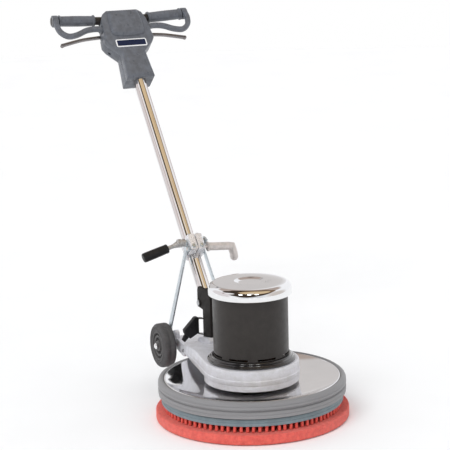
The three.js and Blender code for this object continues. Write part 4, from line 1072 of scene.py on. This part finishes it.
def make_stays():
    foot_y, top_y, thick = 83.0, 24.0, 4.0
    top_half, foot_half, straight, wide_from = 7.4, 10.4, 22, 44
    for label, side in SIDES.items():
        top = to_machine(Vector((BOLT.x, side * (top_y + thick / 2), BOLT.z)))
        foot = Vector((AXLE_X, side * (foot_y + thick / 2), STUD_Z))
        length = math.hypot(top.x - foot.x, top.z - foot.z)
        spread = foot.y - top.y
        bend = spread * (wide_from - straight) / (length - 2 * straight)
        line = [(0, 0), (straight, 0), (wide_from, bend), (length - straight, spread), (length, spread)]
        edge = side * thick / 2
        outline = [(u, v - edge) for u, v in line] + [(u, v + edge) for u, v in reversed(line)]
        points, faces = prism(round_corners(outline, 1.0, 2), -foot_half, foot_half)
        for point in points:
            share = max(0, min(1, (point.x - wide_from) / (length - wide_from)))
            point.z = point.z * (top_half + (foot_half - top_half) * share) / foot_half
        extras = [crosswise(rod(radius, v - thick / 2, v + thick / 2, 32, 0.3), u)
                  for u, v, radius in ((0, 0, top_half), (length, spread, foot_half))]
        extras.append(crosswise(rod(4, *sorted((spread, spread - side * 8.5)), 24, 0.4), length))
        down = Vector((foot.x - top.x, 0, foot.z - top.z)).normalized()
        across = Vector((0, 1, 0))
        place = axes(down, across, down.cross(across), top)
        hole = crosswise(rod(6.3, -20, 20, 24))
        strip = moved((points, faces), place)
        piece(f"stay_{label}", "stays", "zinc", strip, stands_for=[f"stay_bar_{label}"],
              joined=[moved(extra, place) for extra in extras], cut=[moved(hole, place)], bevel=0.6)


# ---------------------------------------------------------------- switch housing

# Half of the housing's outline from the top down; its rear face leans forward towards the top.
HEAD_HALF = [(48, 968), (62, 957), (71, 934), (77, 864), (68, 849), (37, 818), (40, 770), (43, 729)]
HEAD_OUTLINE = inset(mirrored(HEAD_HALF), 0.4)
HEAD_REAR = span("head_rear_cover", HANDLE)[0].x
HEAD_REAR_TOP = HEAD_REAR + 26
SPLIT = 4.0
LOCK_HEIGHT = 905
BAR_HEIGHT = 945.0
BAR_SLOPE = math.radians(3.4)
TUBE_HOLE = rod(17.9, 690, 876.5, ROUND)
BAR_HOLE = crosswise(rod(14.5, -120, 120, SMALL), 0, BAR_HEIGHT + 3)


def leaned(outline, radius, layers):
    """A layered shape, squeezed front to back until its rear follows the housing's slanted rear face."""
    foot, top = HEAD_HALF[-1][1], HEAD_HALF[0][1]
    points, faces = layered(outline, radius, layers)
    for point in points:
        rear = HEAD_REAR + (HEAD_REAR_TOP - HEAD_REAR) * (point.z - foot) / (top - foot)
        point.x = SPLIT + (point.x - SPLIT) * ((SPLIT - rear) / (SPLIT - HEAD_REAR))
    return points, faces


def make_housing_front():
    front = span("head_front_cover", HANDLE)[1].x
    face = front - 10
    body = layered(HEAD_OUTLINE, 2.5, [(0, SPLIT), (0, face - 5), (0.6, face - 2.6), (1.8, face - 0.8),
                                       (3.4, face - 0.05)])
    brow_plan = mirrored([(45, 961), (49.5, 925), (50, 889), (46, 880), (30, 875.4), (12, 873.4)])
    brow = layered(brow_plan, 5, [(-4, face - 6), (-2.4, face + 1.5), (-0.8, face + 5), (1.6, face + 7.6),
                                  (4.5, face + 9.2), (8, front - 0.1)])
    panel_plan = mirrored([(25, 806), (28, 770), (31, 737)])
    panel = layered(panel_plan, 4, [(-4, face - 2), (-3.4, face - 0.2), (-0.5, face + 1.5),
                                    (1.5, face + 1.9)])
    inside = layered(HEAD_OUTLINE, 3, [(9, SPLIT - 1), (9, face - 8)])
    gaps = [frontal(side_rectangle(side, 60, 95, 896, 920), SPLIT - 1, face - 4) for side in SIDES.values()]
    piece("housing_front", "handle", "grey_plastic", body, HANDLE, ["head_front_cover"], joined=[brow, panel],
          cut=[inside, TUBE_HOLE, BAR_HOLE, *gaps], bevel=0.6, smooth=40)


def make_housing_rear():
    rear = HEAD_REAR
    back = leaned(HEAD_OUTLINE, 2.5, [(0, SPLIT - 0.5), (0, rear + 16), (1.8, rear + 10), (4, rear + 5.6),
                                      (6.5, rear + 2.2), (9, rear + 0.3)])
    inside = leaned(HEAD_OUTLINE, 3, [(9, rear + 8), (9, SPLIT)])
    lock_hole = moved(rod(9.4, rear, -20, SMALL), ALONG_X, shift(0, 0, LOCK_HEIGHT))
    screw_place = [Matrix.Rotation(math.radians(135), 4, "X"), shift(-15, -60, 841)]
    screw_hole = moved(rod(4.6, -7, 8, 24), *screw_place)
    gaps = [frontal(side_rectangle(side, 20, 90, 888, 922), -27.5, -14.5) for side in SIDES.values()]
    piece("housing_rear", "handle", "grey_plastic", back, HANDLE, ["head_rear_cover"],
          cut=[inside, TUBE_HOLE, BAR_HOLE, lock_hole, screw_hole, *gaps], bevel=0.6, smooth=40)
    screw = moved(rod(4.2, -6.8, -4.6, 24, 0.5), *screw_place)
    piece("housing_screw", "handle", "steel", screw, HANDLE)


def make_name_plate():
    low, high = span("name_plate", HANDLE)
    back, face = low.x, high.x
    plate = round_corners(rectangle(low.y + 0.2, high.y - 0.2, low.z + 0.2, high.z - 0.2), 6, 5)
    rim = stack([(plate, back), (plate, face - 0.5), (inset(plate, 0.5), face - 0.2)])
    piece("plate_rim", "handle", "plate_blue:border", moved(rim, FORWARD), HANDLE, ["name_plate"], smooth=30)
    piece("plate_field", "handle", "plate_blue", frontal(inset(plate, 3.6), face - 0.6, face), HANDLE)


def make_bar():
    end = span("handlebar", HANDLE)[1].y - 0.5
    lift = end * math.tan(BAR_SLOPE)
    path = [Vector((0, y, BAR_HEIGHT + rise)) for y, rise in ((-end, lift), (0, 0), (end, lift))]
    bar = sweep(path, arc(12, 0, 360 - 360 / 40, 39))
    piece("bar_tube", "handle", "black_metal", bar, HANDLE, ["handlebar"], bevel=0.8)
    inner, outer, bore = 84.5, 193.5, 12.3
    rim = [(0.8, 0), (0, 0.8), (0, 4), (1, 5), (2.5, 6.4), (2.4, 20), (2, 45)]
    first = from_rim(17.8, inner, rim)
    last = from_rim(17.8, outer, [(inward, -up) for inward, up in reversed(rim)])
    sleeve = lathe([(bore, inner)] + first + last + [(bore, outer)], 56)
    plug = lathe([(0, 213.9), (12.1, 213.6), (12.1, 212.2), (14.2, 212.2), (14.6, 212.8), (14.6, 213.6),
                  (13.0, 214.4), (0, 214.6)], 40)
    for label, side in SIDES.items():
        arm = [outward(side), Matrix.Rotation(side * BAR_SLOPE, 4, "X"), shift(0, 0, BAR_HEIGHT)]
        piece(f"grip_sleeve_{label}", "handle", "grey_plastic", moved(sleeve, *arm), HANDLE,
              [f"grip_{label}"], smooth=40)
        piece(f"end_plug_{label}", "handle", "grey_plastic:plug", moved(plug, *arm), HANDLE, smooth=50)


def make_guards():
    line = [(204, 951), (206.5, 932), (200, 908), (180, 892.5), (152, 896), (120, 909), (90, 912), (70, 908)]
    section = round_corners(rectangle(-7.8, 7.8, -7.8, 7.8), 6, 5)
    bore, edge, r, near, far = 13.2, 16.6, 17.4, 196.4, 211.6
    eye = lathe([(bore, near), (edge, near), (r, near + 1), (r, far - 1), (edge, far), (bore, far)], 48)
    eye_height = BAR_HEIGHT + 205 * math.tan(BAR_SLOPE)
    for label, side in SIDES.items():
        loop = sweep(curve_through([(13, side * y, z) for y, z in line], 6), section)
        place = (outward(side), shift(0, 0, eye_height))
        piece(f"guard_loop_{label}", "handle", "grey_plastic", loop, HANDLE, [f"guard_{label}"],
              cut=[moved(rod(13.1, 150, 260, SMALL), *place)], smooth=50)
        piece(f"guard_eye_{label}", "handle", "grey_plastic", moved(eye, *place), HANDLE, smooth=50)


def make_triggers():
    half_thick, pivot_x = 4.8, -21
    upper = curve_through([(30, 909), (60, 908.5), (122, 903.5), (160, 896.5), (195, 888.5)], 5)
    lower = curve_through([(193, 880.5), (158, 889), (120, 896.5), (58, 901), (30, 903)], 5)
    knob = moved(lathe([(0, -5.8), (3.4, -5.8), (5.0, -4.6), (5.4, -2.5), (4.6, 0), (5.4, 2.5), (5.0, 4.6),
                        (3.4, 5.8), (0, 5.8)], 32), ALONG_X)
    for label, side in SIDES.items():
        outline = [(side * p.x, p.y) for p in upper + lower]
        blade = frontal(outline, pivot_x - half_thick, pivot_x + half_thick)
        shape = merge(blade, moved(knob, shift(pivot_x, side * 194, 884)))
        piece(f"trigger_blade_{label}", f"trigger_{label}", "steel:dark", shape, HANDLE, [f"trigger_{label}"],
              bevel=1.2, segments=3)


def make_rear_fittings():
    cap = lathe([(0, 0.3), (9, 0.3), (9, 10), (8.2, 11.2), (6, 11.9), (0, 12)], 40)
    cap = moved(cap, BACKWARD, shift(span("lock_button", HANDLE)[1].x, 0, LOCK_HEIGHT))
    piece("lock_cap", "lock_button", "button_red", cap, HANDLE, ["lock_button"], smooth=45)
    sleeve = lathe([(0, 0), (9.6, 0), (9.6, 6), (8.4, 7), (8.4, 8.5), (7.6, 9.2), (7.2, 14), (6.2, 17),
                    (5.2, 17.4), (0, 17.4)], 36)
    gland = merge(sleeve, hexagon(17, 0.2, 6, 1))
    gland = moved(gland, BACKWARD, shift(span("cord_gland", HANDLE)[1].x, 0, 770))
    piece("gland", "handle", "black_plastic", gland, HANDLE, ["cord_gland"], smooth=45)


# ---------------------------------------------------------------- pieces kept as the CAD has them

KEPT = {
    "steel": ["lower_bearing", "upper_bearing", "output_bearing", "ring_gear", "drive_carrier", "axle",
              "planet_gear_1", "planet_gear_2", "planet_gear_3", "rotor", "motor_shaft", "sun_gear"],
    "motor_core": ["stator"],
    "cast": ["upper_end_bell"],
    "black_plastic": ["start_capacitor", "cooling_fan", "switch_block"],
    "zinc": ["clutch_plate"],
}


def finish_kept():
    for slot, names in KEPT.items():
        for name in names:
            for holder in frame["nodes"][name].material_slots:
                holder.material = FINISHES[slot]


make_pad()
make_bristles()
make_driver()
make_bumper()
make_deck()
make_gear_case()
make_base()
make_flange()
make_can()
make_cap()
make_yoke()
make_connector()
make_wheels()
make_tube()
make_collar()
make_clamp_stud()
make_hook()
make_lever()
make_stays()
make_housing_front()
make_housing_rear()
make_name_plate()
make_bar()
make_guards()
make_triggers()
make_rear_fittings()
finish_kept()

bpy.context.scene.view_settings.view_transform = "Standard"
